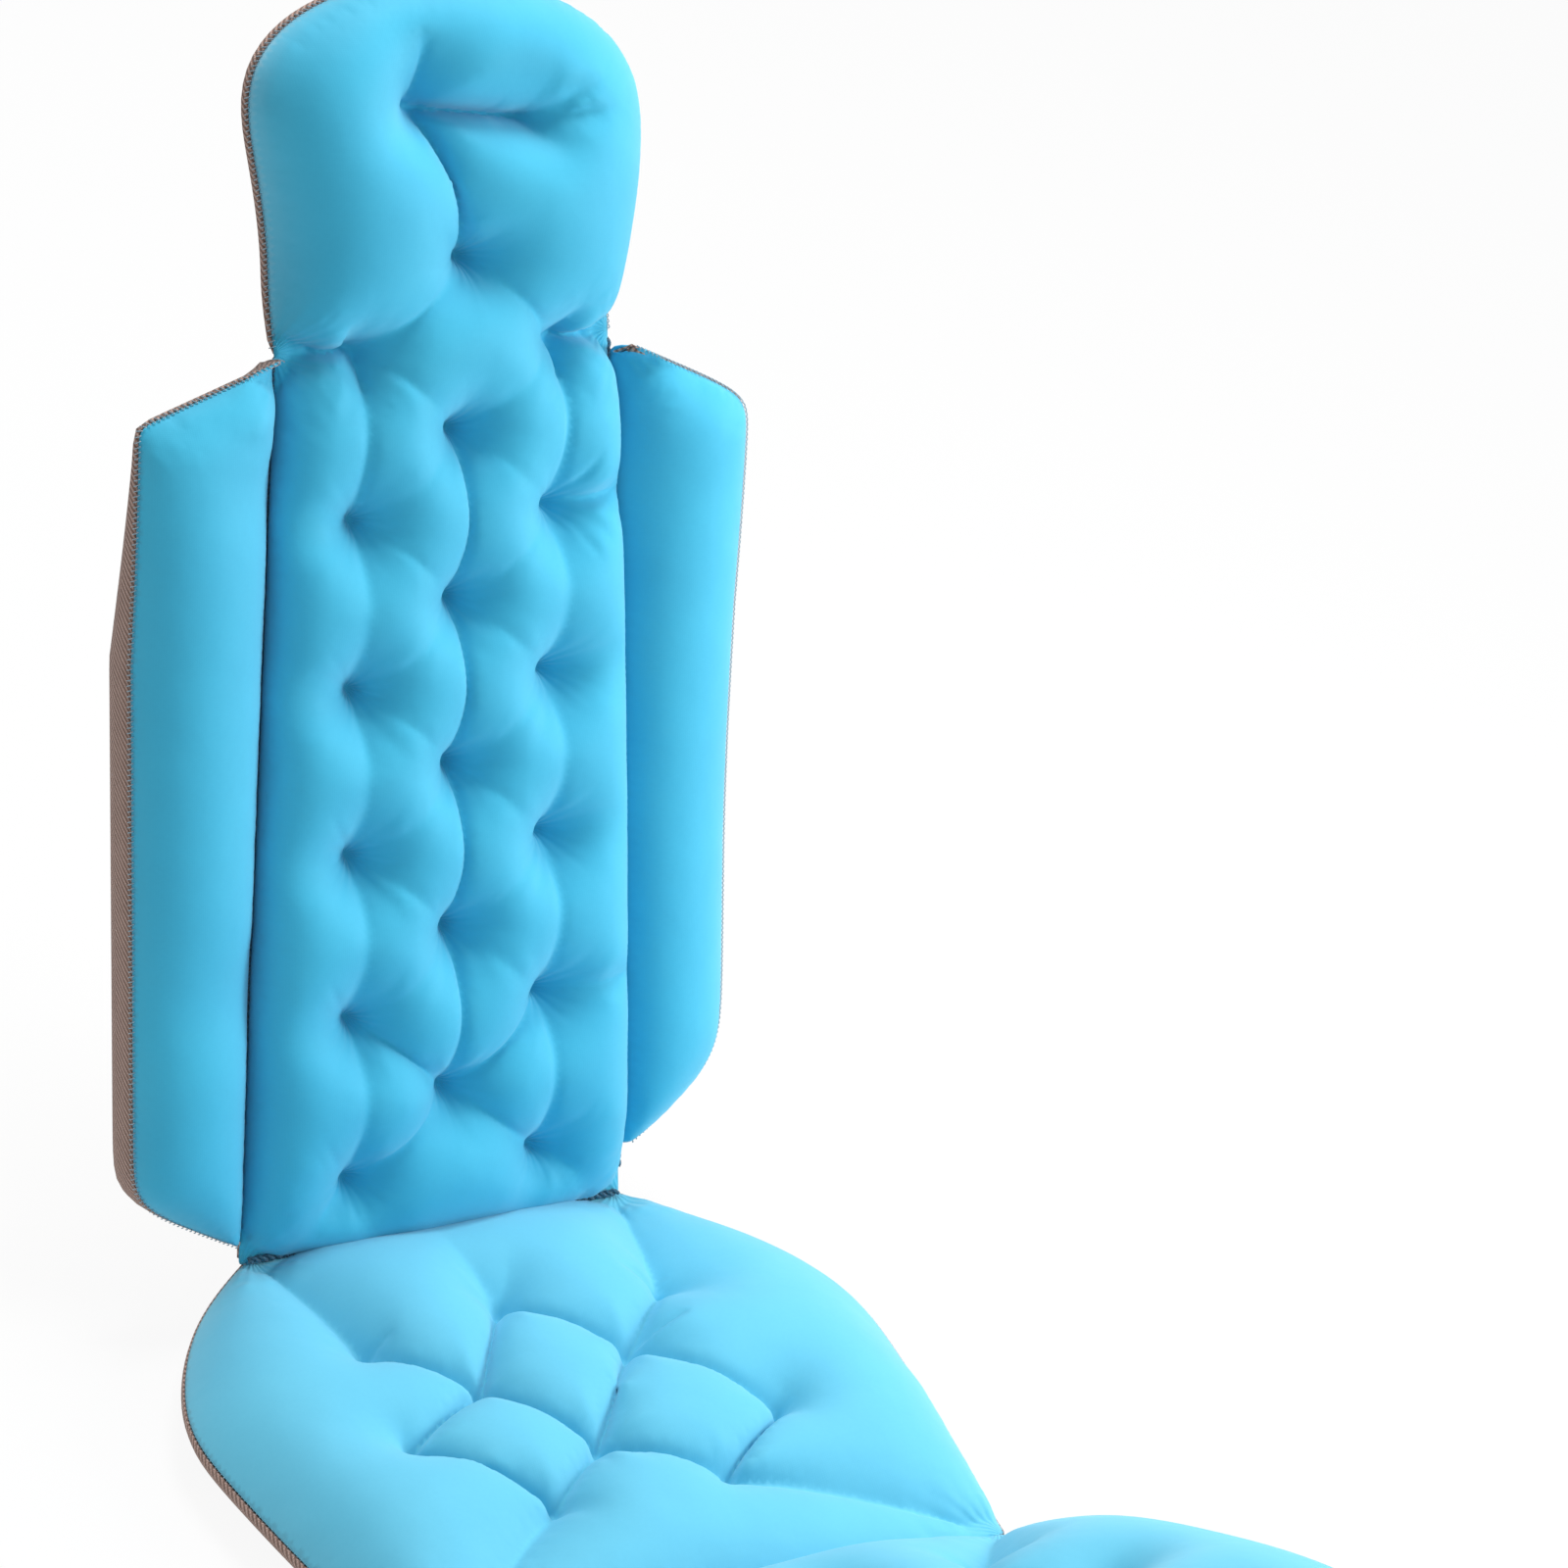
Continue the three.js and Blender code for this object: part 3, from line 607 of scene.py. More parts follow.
class Tie(Stretch):
    """A place where the cover is sewn down: a tuft, or a line of stitches."""

    def __init__(self, start, end=None, floor=TUFT_FLOOR, end_floor=None, width=None):
        super().__init__(start, end)
        self.floors = (floor, floor if end_floor is None else end_floor)
        self.width = width

    def floor(self, points):
        """Its height at the nearest place to each point."""
        return mix(*self.floors, self.share(points))


class Valley(Stretch):
    """A soft crease between two ties: its floor rises from both ends to a share of the crown."""

    def __init__(self, start, end, sag, start_floor=TUFT_FLOOR, end_floor=TUFT_FLOOR, width=None, power=None,
                 sewn=False):
        super().__init__(start, end)
        self.sag = sag
        self.floors = (start_floor, end_floor)
        self.width = width
        self.power = power
        self.sewn = sewn

    def heights(self, points, dome, width, power):
        share = self.share(points)
        floor = mix(*self.floors, share)
        low = floor + self.sag * np.maximum(dome - floor, 0) * np.sqrt(4 * share * (1 - share))
        up = plump(self.distance(points) / (self.width or width), self.power or power)
        return low + np.maximum(dome - low, 0) * up


class Wrinkle(Stretch):
    """A fold of the knit: a narrow dent that fades out towards its end."""

    def __init__(self, start, end, depth):
        super().__init__(start, end)
        self.depth = depth

    def dent(self, points):
        run = self.end - self.start
        share = ((points - self.start) @ run) / (run @ run)
        across = rise(1 - self.distance(points) / WRINKLE_WIDTH)
        return self.depth * rise(1 - clamp(share)) * rise(share * WRINKLE_START + 1) * across


def fan(corner, side, length, depth, *degrees):
    """Wrinkles that run out from a corner, every second one shorter."""
    corner = np.array(corner)
    found = []
    for k, angle in enumerate(degrees):
        step = np.array((side * math.cos(math.radians(angle)), math.sin(math.radians(angle))))
        reach = length * (FAN_SHORT if k % 2 else 1.0)
        found.append(Wrinkle(corner + FAN_START * step, corner + reach * step, depth))
    return found


def staggered(rows):
    """Rows of three and two tufts by turns: each one's column, row and place."""
    found = []
    for row in range(rows):
        for column in (-1, 1) if row % 2 else (-2, 0, 2):
            place = np.array((column * SEAT_TUFT_STEP, SEAT_FIRST_TUFT + row * SEAT_TUFT_STEP))
            found.append((column, row, place))
    return found


def inflated(name, points, triangles, pinned, pressure):
    """The points of a sheet after a short cloth simulation, blown up against its sewn points."""
    sides = {(face[k], face[k - 2]) for face in triangles for k in range(3)}
    border = [(a, b) for a, b in sides if (b, a) not in sides]
    base = points.mean(axis=0) * (1, 1, 0)
    faces = triangles + [(b, a, len(points)) for a, b in sorted(border)]
    mesh = bpy.data.meshes.new(name + "_sim")
    mesh.from_pydata([tuple(p) for p in points] + [tuple(base)], [], faces)
    mesh.update()
    obj = bpy.data.objects.new(name + "_sim", mesh)
    scene = bpy.context.scene
    scene.collection.objects.link(obj)
    group = obj.vertex_groups.new(name="sewn")
    group.add([int(k) for k in np.flatnonzero(pinned)] + [len(points)], 1.0, "REPLACE")
    cloth = obj.modifiers.new("Cloth", "CLOTH")
    for setting, value in CLOTH.items():
        setattr(cloth.settings, setting, value)
    cloth.settings.uniform_pressure_force = pressure
    cloth.settings.effector_weights.gravity = 0
    cloth.collision_settings.use_collision = False
    cloth.collision_settings.use_self_collision = False
    cloth.point_cache.frame_start = 1
    cloth.point_cache.frame_end = FRAMES
    for number in range(1, FRAMES + 1):
        scene.frame_set(number)
    shown = obj.evaluated_get(bpy.context.evaluated_depsgraph_get()).data
    moved = np.zeros(len(shown.vertices) * 3)
    shown.vertices.foreach_get("co", moved)
    scene.frame_set(1)
    bpy.data.objects.remove(obj)
    bpy.data.meshes.remove(mesh)
    return moved.reshape(-1, 3)[:-1]


def mirrored(right):
    """A closed loop from its right half, which runs from its lowest to its highest point."""
    return np.vstack((right, flipped(right)))


def flipped(right):
    return right[::-1] * (-1, 1)


def end_steps(start, end):
    """Steps that draw together towards a rounded end."""
    return mix(start, end, rise(np.linspace(0, 1, STEPS)))


def pairs(half, w):
    return np.stack((half(w), w), axis=-1)


def back_side(gap):
    """Right edge of the backrest between the wing seams, from the waist to the neck."""
    return pairs(lambda at: seam_half(at) - gap, np.linspace(gap, BACK_LENGTH, STEPS))


def head_side():
    """Right edge of the head panel, from the neck to the top of its round end."""
    straight = BACK_LENGTH + HEAD_LENGTH - HEAD_ROUND
    low = np.linspace(BACK_LENGTH, straight, STEPS)
    return pairs(head_half, np.concatenate((low, end_steps(straight, BACK_LENGTH + HEAD_LENGTH)[1:])))


def seat_side():
    """Right edge of the seat, with its inner corners worn round."""
    w = np.linspace(0, SEAT_LENGTH, 2 * STEPS)
    path = pairs(seat_half, np.clip(w, SEAM_GAP, SEAT_LENGTH - SEAM_GAP))
    for _ in range(ROUNDING_STEPS):
        path[1:-1] = (path[:-2] + 2 * path[1:-1] + path[2:]) / 4
    return path


def leg_side():
    low = LEG_WIDEST * (1 - np.cos(np.linspace(0, math.pi / 2, STEPS)))
    w = np.concatenate((low, end_steps(LEG_WIDEST, LEG_LENGTH)[1:]))
    return pairs(leg_half, np.clip(w, SEAM_GAP, None))


# Distances to the nearest fold of each panel.
def back_fold(points):
    u, w = points.T
    return np.minimum.reduce((w, BACK_LENGTH - w, seam_half(w) - np.abs(u)))


def head_fold(points):
    return points[:, 1] - BACK_LENGTH


def seat_fold(points):
    return np.minimum(points[:, 1], SEAT_LENGTH - points[:, 1])


def leg_fold(points):
    return points[:, 1]


def near_fold(away):
    """1 at a fold, 0 where the mesh has come down to its flat floor."""
    return 1 - rise(away / LIFT_RUN)


def rim_of(height, fold):
    """Height of a panel's edge, which comes to the cords' height at its folds."""
    return lambda points: mix(height, FOLD_RIM, near_fold(fold(points)))


def floor_of(fold):
    """Height of a panel's mesh floor, which comes up at its folds."""
    return lambda points: FOLD_LIFT * near_fold(fold(points))


def dome_of(fold, run):
    """The rise of a panel that is round at its free edge and rolled at its folds."""
    def dome(flat, loop):
        return np.minimum(swell(edge_distance(flat, loop) / SIDE_RUN), rolled(fold(flat) / run))
    return dome


head_rim = rim_of(HEAD_RIM, head_fold)
seat_rim = rim_of(SEAT_RIM, seat_fold)
leg_rim = rim_of(LEG_RIM, leg_fold)
seat_dome = dome_of(seat_fold, FOLD_RUN)
leg_dome = dome_of(leg_fold, LEG_FOLD_RUN)


def back_rim(points):
    return np.where(points[:, 1] > BACK_LENGTH, head_rim(points), FOLD_RIM)


def head_set(u, w, h):
    """The head panel's small sway to the right above the neck."""
    return u + HEAD_SHIFT * np.sin(2 * math.pi * clamp((w - BACK_LENGTH) / HEAD_SWAY)), w, h


def seat_set(u, w, h):
    """The seat's left half is drawn in a little."""
    return u * (1 - SEAT_LEFT_IN * clamp(-u / SEAT_TUFT_STEP)), w, h


def new_object(name, points, faces, uv=None):
    mesh = bpy.data.meshes.new(name)
    mesh.from_pydata([tuple(p) for p in points], [], faces)
    if uv is not None:
        layer = mesh.uv_layers.new(name="panel")
        corners = np.zeros(len(mesh.loops), int)
        mesh.loops.foreach_get("vertex_index", corners)
        layer.data.foreach_set("uv", np.asarray(uv, float)[corners].ravel())
    mesh.update()
    for polygon in mesh.polygons:
        polygon.use_smooth = True
    obj = bpy.data.objects.new(name, mesh)
    bpy.context.scene.collection.objects.link(obj)
    return obj


def thickened(obj, thickness):
    """Gives a sheet its thickness, and turns its modifiers into its mesh."""
    thick = obj.modifiers.new("Thickness", "SOLIDIFY")
    thick.thickness = thickness
    thick.offset = -1
    made = bpy.data.meshes.new_from_object(obj.evaluated_get(bpy.context.evaluated_depsgraph_get()))
    obj.modifiers.clear()
    old = obj.data
    obj.data = made
    made.name = obj.name
    bpy.data.meshes.remove(old)
    return obj


def fixed_points(lines, loop):
    """Points that the tiling keeps: each tuft, and even steps along each crease and on both sides of it."""
    found = []
    for offset in (0.0, BESIDE, -BESIDE):
        for line in lines:
            run = line.end - line.start
            length = np.hypot(*run)
            steps = int(round(length / SPACING))
            if steps:
                beside = np.array((-run[1], run[0])) / length * SPACING * offset
                found += [mix(line.start, line.end, share) + beside for share in np.linspace(0, 1, steps + 1)]
            elif not offset:
                found.append(line.start)
    kept = np.zeros((0, 2))
    for point in clear_of_edge(np.array(found).reshape(-1, 2), loop, SPACING * POINT_CLEAR):
        if not len(kept) or np.hypot(*(kept - point).T).min() > SPACING * POINT_CLEAR:
            kept = np.vstack((kept, point))
    return kept


@dataclass
class Cover:
    """What one stuffed cover is cut and sewn to."""

    outline: object
    rim: object
    crown: object
    dome: object
    wrinkles: list
    ties: list = ()
    valleys: list = ()
    width: float = 0.0
    powers: tuple = ()
    pressure: float = 0.0

    def pillowed(self, flat, dome):
        """Heights with every tie pulled down to its floor, and valleys between the ties."""
        heights = dome.copy()
        for tie in self.ties:
            low = tie.floor(flat)
            share = plump(tie.distance(flat) / (tie.width or self.width), self.powers[0])
            heights = np.minimum(heights, low + (dome - low) * share)
        for valley in self.valleys:
            heights = np.minimum(heights, valley.heights(flat, dome, self.width, self.powers[1]))
        return heights

    def sewn(self, name):
        """Tiles the cover, draws it down at its ties and blows it up in a cloth simulation."""
        loop = resampled(self.outline, SPACING)
        lines = (*self.ties, *self.valleys, *self.wrinkles)
        flat, triangles, border = tile(loop, SPACING, fixed_points(lines, loop))
        rim = self.rim(flat)
        heights = self.pillowed(flat, mix(rim, self.crown(flat), clamp(self.dome(flat, loop))))
        dents = sum((fold.dent(flat) for fold in self.wrinkles), np.zeros(len(flat)))
        heights = np.maximum(heights - dents, np.minimum(heights, rim + LEAST_HEIGHT))
        heights[border] = rim[border]
        held = border.copy()
        for tie in self.ties:
            near = tie.distance(flat) < TIE_RADIUS
            heights[near] = np.minimum(heights[near], tie.floor(flat[near]))
            held |= near
        for valley in self.valleys:
            if valley.sewn:
                held |= valley.distance(flat) < CREASE_RADIUS
        points = np.column_stack((flat, heights))
        step = inflated(name, points, triangles, held, self.pressure) - points
        far = np.maximum(np.linalg.norm(step, axis=1) / CAP, 1)
        points = points + step / far[:, None]
        return flat, points, triangles


def dressed(name, panel, cover):
    """A cover as an object: smoothed and given its thickness."""
    flat, points, triangles = cover.sewn(name)
    obj = new_object(name, panel.world(*points.T), triangles, flat)
    smooth = obj.modifiers.new("Smooth", "SUBSURF")
    smooth.levels = smooth.render_levels = 1
    return thickened(obj, COVER_THICKNESS)


def back_cover():
    """The backrest and head panel, which are one piece of knit sewn down at the neck."""
    outer = [BACK_FIRST_TUFT + k * BACK_TUFT_PITCH for k in range(BACK_TUFT_ROWS)]
    middle = [BACK_FIRST_TUFT + (k + 0.5) * BACK_TUFT_PITCH for k in range(BACK_TUFT_ROWS + 1)]
    neck = np.array((0.0, BACK_LENGTH))
    left_end, right_end = neck + HEAD_LINE_LEFT, neck + HEAD_LINE_RIGHT
    head_tuft = (0.0, middle[-1])
    ties = [Tie((side * BACK_TUFT_X, w)) for w in outer for side in (-1, 1)]
    ties += [Tie((0.0, w)) for w in middle]
    ties.append(Tie(left_end, right_end, end_floor=HEAD_LINE_FLOOR, width=HEAD_LINE_WIDTH))
    valleys = [Valley((0.0, low), (0.0, high), *COLUMN) for low, high in zip(middle[:-2], middle[1:-1])]
    wrinkles = []
    for side in (-1, 1):
        u = side * BACK_TUFT_X
        corner, column, waist = (side * NECK_HALF, BACK_LENGTH), (u, BACK_LENGTH), (side * seam_half(0), 0)
        ties.append(Tie(corner, column, FOLD_RIM, width=NECK_TIE_WIDTH))
        valleys += [Valley((u, low), (u, high), *COLUMN) for low, high in zip(outer[:-1], outer[1:])]
        valleys.append(Valley((u, outer[-1]), column, *COLUMN_TOP))
        for w in outer:
            for at in middle:
                if abs(at - w) < NEIGHBOURS:
                    style = LOW_DIAGONAL if at == middle[0] else DIAGONAL
                    valleys.append(Valley((u, w), (0.0, at), *style))
        valleys.append(Valley(column, head_tuft, *NECK_TO_HEAD))
        valleys.append(Valley(column, (0.0, middle[-2]), *NECK_TO_BACK))
        valleys.append(Valley((u, outer[0]), waist, *TO_WAIST))
        for place, folds in ((corner, NECK_FAN), (column, COLUMN_FAN), (waist, WAIST_FAN)):
            wrinkles += fan(place, side, *folds)
    valleys.append(Valley(head_tuft, left_end, *LOBE))
    valleys.append(Valley(left_end, left_end + LOBE_TOP_STEP, *LOBE_TOP))
    valleys += [Valley(right_end, right_end + step, *FORK) for step in FORK_STEPS]
    for row, sag in SIDE_CREASE_ROWS:
        w = outer[row]
        valleys.append(Valley((BACK_TUFT_X, w), (seam_half(w), w + SIDE_CREASE_RISE), sag, *SIDE_CREASE))
    loop = mirrored(np.vstack((back_side(SEAM_GAP), head_side()[1:])))
    return Cover(loop, back_rim, back_crown, back_dome, wrinkles, ties, valleys, *BACK_STUFFING)


def back_dome(flat, loop):
    """The backrest slopes up from its seams; the head panel rises from its edge like a cushion."""
    away = edge_distance(flat, loop)
    return mix(rise(away / BACK_SEAM_RUN), swell(away / HEAD_EDGE_RUN), head_share(flat))


def head_share(flat):
    return rise((flat[:, 1] - BACK_LENGTH) / HEAD_ROUND)


def back_crown(flat):
    return mix(BACK_CROWN, HEAD_CROWN, head_share(flat))


def seat_crown(flat):
    """The seat is flatter towards its rear corners, the right one most."""
    u, w = flat.T
    corner = rise((np.abs(u) - CORNER_FROM) / CORNER_RUN) * rise((CORNER_UNTIL - w) / CORNER_FADE)
    return SEAT_CROWN - np.where(u > 0, CORNER_RIGHT, CORNER_LEFT) * corner


def leg_crown(flat):
    return np.full(len(flat), LEG_CROWN)


def lattice(tufts):
    """Ties at the tufts of a diamond pattern, and the valleys between neighbours."""
    ties = [Tie(place, floor=SEAT_TUFT_FLOOR) for column, row, place in tufts]
    valleys = []
    for column, row, place in tufts:
        for other_column, other_row, other in tufts:
            if other_row == row + 1 and abs(other_column - column) == 1:
                valleys.append(Valley(place, other, *SEAT_DIAGONAL))
    return ties, valleys


def seat_cover():
    """The seat, with its tufts where the photograph shows them."""
    spots = zip(staggered(SEAT_TUFT_ROWS), SEAT_TUFTS)
    tufts = [(column, row, np.array(place)) for (column, row, _), place in spots]
    ties, valleys = lattice(tufts)
    wrinkles = []
    for side, rear, front in ((-1, 0, -2), (1, 2, -1)):
        waist, knee = (side * SEAT_WAIST_HALF, 0.0), (side * SEAT_KNEE_HALF, SEAT_LENGTH)
        valleys.append(Valley(tufts[rear][2], waist, *SEAT_TO_WAIST))
        valleys.append(Valley(tufts[front][2], knee, *SEAT_TO_KNEE))
        wrinkles += fan(waist, side, *SEAT_WAIST_FAN) + fan(knee, side, *SEAT_KNEE_FAN)
    middle = tufts[1][2]
    valleys.append(Valley(middle, middle - SEAT_REAR_STEP, *SEAT_REAR))
    loop = mirrored(seat_side())
    return Cover(loop, seat_rim, seat_crown, seat_dome, wrinkles, ties, valleys, *SEAT_STUFFING)


def leg_cover():
    tufts = staggered(LEG_TUFT_ROWS)
    ties, valleys = lattice(tufts)
    wrinkles = []
    for side, rear in ((-1, 0), (1, 2)):
        knee = (side * LEG_KNEE_HALF, 0.0)
        valleys.append(Valley(tufts[rear][2], knee, *SEAT_TO_KNEE))
        wrinkles += fan(knee, side, *LEG_KNEE_FAN)
    loop = mirrored(leg_side())
    return Cover(loop, leg_rim, leg_crown, leg_dome, wrinkles, ties, valleys, *SEAT_STUFFING)


def tray(name, panel, loop, rim, floor, ties=(), levels=WALL):
    """The ribbed mesh under a cover: a low side wall that curls under to the floor, dimpled at the tufts."""
    loop = resampled(loop, TRAY_SPACING)
    out = outward(loop)
    count = len(loop)
    run = lengths_along(closed(loop))
    high = rim(loop) - WALL_DROP
    points, uv, faces = [], [], []
    for level, (push, share) in enumerate(levels):
        ring = loop + out * push
        height = mix(floor(ring), high, share)
        for k in range(count + 1):
            at = k % count
            points.append((ring[at, 0], ring[at, 1], height[at]))
            uv.append((run[k], height[at]))
        if level:
            base = level * (count + 1)
            for k in range(base, base + count):
                faces.append((k, k + 1, k - count, k - count - 1))
    flat, triangles, border = tile(loop + out * levels[-1][0], TRAY_SPACING)
    bottom = floor(flat)
    for tie in ties:
        bottom = bottom + DIMPLE * np.exp(-((tie.distance(flat) / DIMPLE_SPREAD) ** 2))
    base = len(points)
    points += [tuple(p) for p in np.column_stack((flat, bottom))]
    uv += [tuple(p) for p in flat]
    faces += [tuple(base + k for k in face[::-1]) for face in triangles]
    return thickened(new_object(name, panel.world(*np.array(points).T), faces, uv), MESH_THICKNESS)


def tubes(name, paths, radius, sides=6):
    """Round threads along lists of frame points, as one mesh."""
    points, faces, uv = [], [], []
    for path in paths:
        path = np.asarray(path)
        run = np.gradient(path, axis=0)
        run /= np.linalg.norm(run, axis=1)[:, None]
        first = np.cross(run[0], THREAD_SLANT)
        base = len(points)
        total = 0.0
        for k, (point, step) in enumerate(zip(path, run)):
            first = first - step * (first @ step)
            first = first / np.linalg.norm(first)
            second = np.cross(step, first)
            if k:
                total += float(np.linalg.norm(point - path[k - 1]))
            for turn in range(sides):
                angle = 2 * math.pi * turn / sides
                points.append(point + radius * (math.cos(angle) * first + math.sin(angle) * second))
                uv.append((total, turn / sides))
        for k in range(len(path) - 1):
            for turn in range(sides):
                a, b = base + k * sides + turn, base + k * sides + (turn + 1) % sides
                faces.append((a, b, b + sides, a + sides))
        faces.append(tuple(base + turn for turn in range(sides))[::-1])
        faces.append(tuple(base + (len(path) - 1) * sides + turn for turn in range(sides)))
    return new_object(name, points, faces, uv)


def overlock(name, panel, path, rim):
    """Stitches over a free edge, where the knit meets the mesh. The path runs anticlockwise, left open."""
    spot = spots_on(path, np.arange(OVERLOCK_PITCH / 2, lengths_along(path)[-1], OVERLOCK_PITCH))
    run = np.gradient(spot, axis=0)
    run /= np.hypot(*run.T)[:, None]
    out = np.stack((run[:, 1], -run[:, 0]), axis=-1)
    height = rim(spot)
    loops = []
    for k in range(len(spot)):
        flat = np.array([spot[k] + out[k] * push + run[k] * slide for push, lift, slide in OVERLOCK])
        lift = np.array([height[k] + lift for push, lift, slide in OVERLOCK])
        loops.append(panel.world(*flat.T, lift))
    return tubes(name, loops, THREAD, 5)


def tacks(name, panel, ties):
    """A bar tack of a few parallel stitches at each tuft, and a row of stitches along each sewn line."""
    threads = []
    for tie in ties:
        run = tie.end - tie.start
        length = np.hypot(*run)
        if length < TINY:
            spots = [tie.start + (0, k * TACK_PITCH) for k in (-1, 0, 1)]
            along = np.array((TACK_HALF, 0.0))
        else:
            shares = np.arange(0.5, length / STITCH_PITCH) * STITCH_PITCH / length
            spots = [mix(tie.start, tie.end, share) for share in shares]
            along = run / length * STITCH_HALF
        for spot in spots:
            flat = np.array([spot + along * share for share in TACK_SHARES])
            threads.append(panel.world(*flat.T, tie.floor(flat) + TACK_LIFTS))
    return tubes(name, threads, THREAD)


def lathe(name, panel, centre, profile, turns=48):
    """A round piece on a panel, from a profile of radii and heights whose corners are cut twice."""
    line = np.array(profile)
    for _ in range(2):
        near, far = mix(line[:-1], line[1:], 0.25), mix(line[:-1], line[1:], 0.75)
        line = np.vstack((line[:1], np.stack((near, far), axis=1).reshape(-1, 2), line[-1:]))
    angles = np.linspace(0, 2 * math.pi, turns, endpoint=False)
    points, faces = [], []
    for r, h in line:
        for angle in angles:
            points.append((centre[0] + r * math.cos(angle), centre[1] + r * math.sin(angle), h))
    for k in range(len(line) - 1):
        for turn in range(turns):
            a, b = k * turns + turn, k * turns + (turn + 1) % turns
            faces.append((a, b, b + turns, a + turns))
    return new_object(name, panel.world(*np.array(points).T), faces)


def cup(name, panel, body):
    """A suction cup and its socket, where the modelled ones are."""
    points = panel.local(points_of(name + "_cup"))
    low, high = points.min(axis=0), points.max(axis=0)
    centre = (low[:2] + high[:2]) / 2
    for part, profile, finish in CUP_PIECES:
        line = [(r, low[2] + h) for r, h in profile]
        placed(lathe(name + part + "_round", panel, centre, line), body, finish, name + part)


def twisted(name, start, end):
    """A two-strand cord between two points."""
    run = end - start
    length = float(np.linalg.norm(run))
    first = np.cross(run / length, CORD_SLANT)
    first /= np.linalg.norm(first)
    second = np.cross(run / length, first)
    along = np.linspace(0, 1, int(length / LAY * STRAND_STEPS))
    paths = []
    for strand in range(2):
        angle = 2 * math.pi * length / LAY * along + strand * math.pi
        swing = np.multiply.outer(np.cos(angle), first) + np.multiply.outer(np.sin(angle), second)
        paths.append(start + np.multiply.outer(along, run) + STRAND_SWING * swing)
    return tubes(name, paths, STRAND)


def fold_cord(joint, body, lift=0.0):
    """The twisted cord in a fold, as long as the modelled one and lifted a little out of the fold. Its dark colour
    is painted shade: a dark line in the fold.
    """
    node = joint + "_cord"
    centre = np.array(JOINTS[joint]["pos_m"]) + lift
    axis = np.array(JOINTS[joint]["axis"])
    along = (points_of(node) - centre) @ axis
    cord = twisted(node + "_twist", centre + axis * along.min(), centre + axis * along.max())
    placed(cord, body, "cordage", node)


class Nodes:
    """Builds one node tree, of a material or a world."""

    def __init__(self, owner):
        owner.use_nodes = True
        self.owner = owner
        self.tree = owner.node_tree

    def add(self, kind, sockets=(), **settings):
        """A new node. Its sockets are given by name or number, each with a value or what feeds it."""
        node = self.tree.nodes.new("ShaderNode" + kind)
        for name, value in settings.items():
            setattr(node, name, value)
        for key, value in dict(sockets).items():
            self.put(node.inputs[key], value)
        return node

    def put(self, socket, value):
        if hasattr(value, "links"):
            self.tree.links.new(value, socket)
        else:
            socket.default_value = value

    def uv(self, scale=(1, 1, 1), turn=0):
        """Panel coordinates, stretched by a scale for each direction and turned by an angle."""
        source = self.add("UVMap", uv_map="panel").outputs["UV"]
        sockets = {"Vector": source, "Scale": scale, "Rotation": (0, 0, math.radians(turn))}
        return self.add("Mapping", sockets).outputs["Vector"]

    def place(self):
        return self.add("TexCoord").outputs["Object"]

    def noise(self, vector, scale, detail=2.0):
        return self.add("TexNoise", {"Vector": vector, "Scale": scale, "Detail": detail}).outputs["Fac"]

    def wave(self, vector, length, direction="X", twist=0.0):
        """Bands across a direction, one in each length."""
        sockets = {"Vector": vector, "Scale": math.pi / 10 / length, "Distortion": twist}
        return self.add("TexWave", sockets, bands_direction=direction).outputs["Fac"]

    def math(self, what, first, second=0.0):
        return self.add("Math", {0: first, 1: second}, operation=what).outputs[0]

    def times(self, first, second):
        return self.math("MULTIPLY", first, second)

    def vector(self, what, *values):
        node = self.add("VectorMath", enumerate(values), operation=what)
        return node.outputs["Value" if what == "LENGTH" else "Vector"]

    def folds(self, flat, centre, count, reach, period=(FAR, FAR), limit=FAR):
        """Ripples round points on both sides: one at a centre, more at each period up to a limit."""
        half = [0.5 * step for step in period]
        whole = self.vector("ABSOLUTE", flat)
        local = self.vector("SUBTRACT", whole, (*centre, 0))
        local = self.vector("WRAP", local, (*half, 1), (-half[0], -half[1], -1))
        parts = self.add("SeparateXYZ", {0: local}).outputs
        angle = self.math("ARCTAN2", parts["Y"], parts["X"])
        swing = self.times(self.noise(flat, 26.0), 9.0)
        ripple = self.math("SINE", self.math("ADD", self.times(angle, float(count)), swing))
        near = self.math("SUBTRACT", 1.0, self.math("DIVIDE", self.vector("LENGTH", local), reach))
        near = self.math("MAXIMUM", near)
        along = self.add("SeparateXYZ", {0: whole}).outputs["Y"]
        patchy = self.times(self.noise(flat, 55.0), self.math("LESS_THAN", along, limit))
        return self.times(self.times(ripple, patchy), self.times(near, near))

    def ramp(self, factor, *stops):
        node = self.add("ValToRGB", {"Fac": factor})
        marks = node.color_ramp.elements
        while len(marks) < len(stops):
            marks.new(0.5)
        for mark, (place, colour) in zip(marks, stops):
            mark.position = place
            mark.color = (*colour, 1)
        return node.outputs["Color"]

    def bump(self, height, strength, depth, under=None):
        sockets = {"Height": height, "Strength": strength, "Distance": depth * MILLIMETRE}
        if under is not None:
            sockets["Normal"] = under
        return self.add("Bump", sockets).outputs["Normal"]

    def shown_white(self):
        """Whether a ray comes from the camera, or from a mirror-like or clear surface: these see white."""
        paths = self.add("LightPath").outputs
        seen = self.math("MAXIMUM", paths["Is Camera Ray"], paths["Is Glossy Ray"])
        return self.math("MAXIMUM", seen, paths["Is Transmission Ray"])

    def blend(self, share, first, second):
        return self.add("MixShader", {0: share, 1: first, 2: second}).outputs[0]

    def finish(self, **values):
        skin = self.tree.nodes["Principled BSDF"]
        for name, value in values.items():
            self.put(skin.inputs[name.replace("_", " ")], value)
        return self.owner


def material(name):
    return Nodes(bpy.data.materials.new(name))


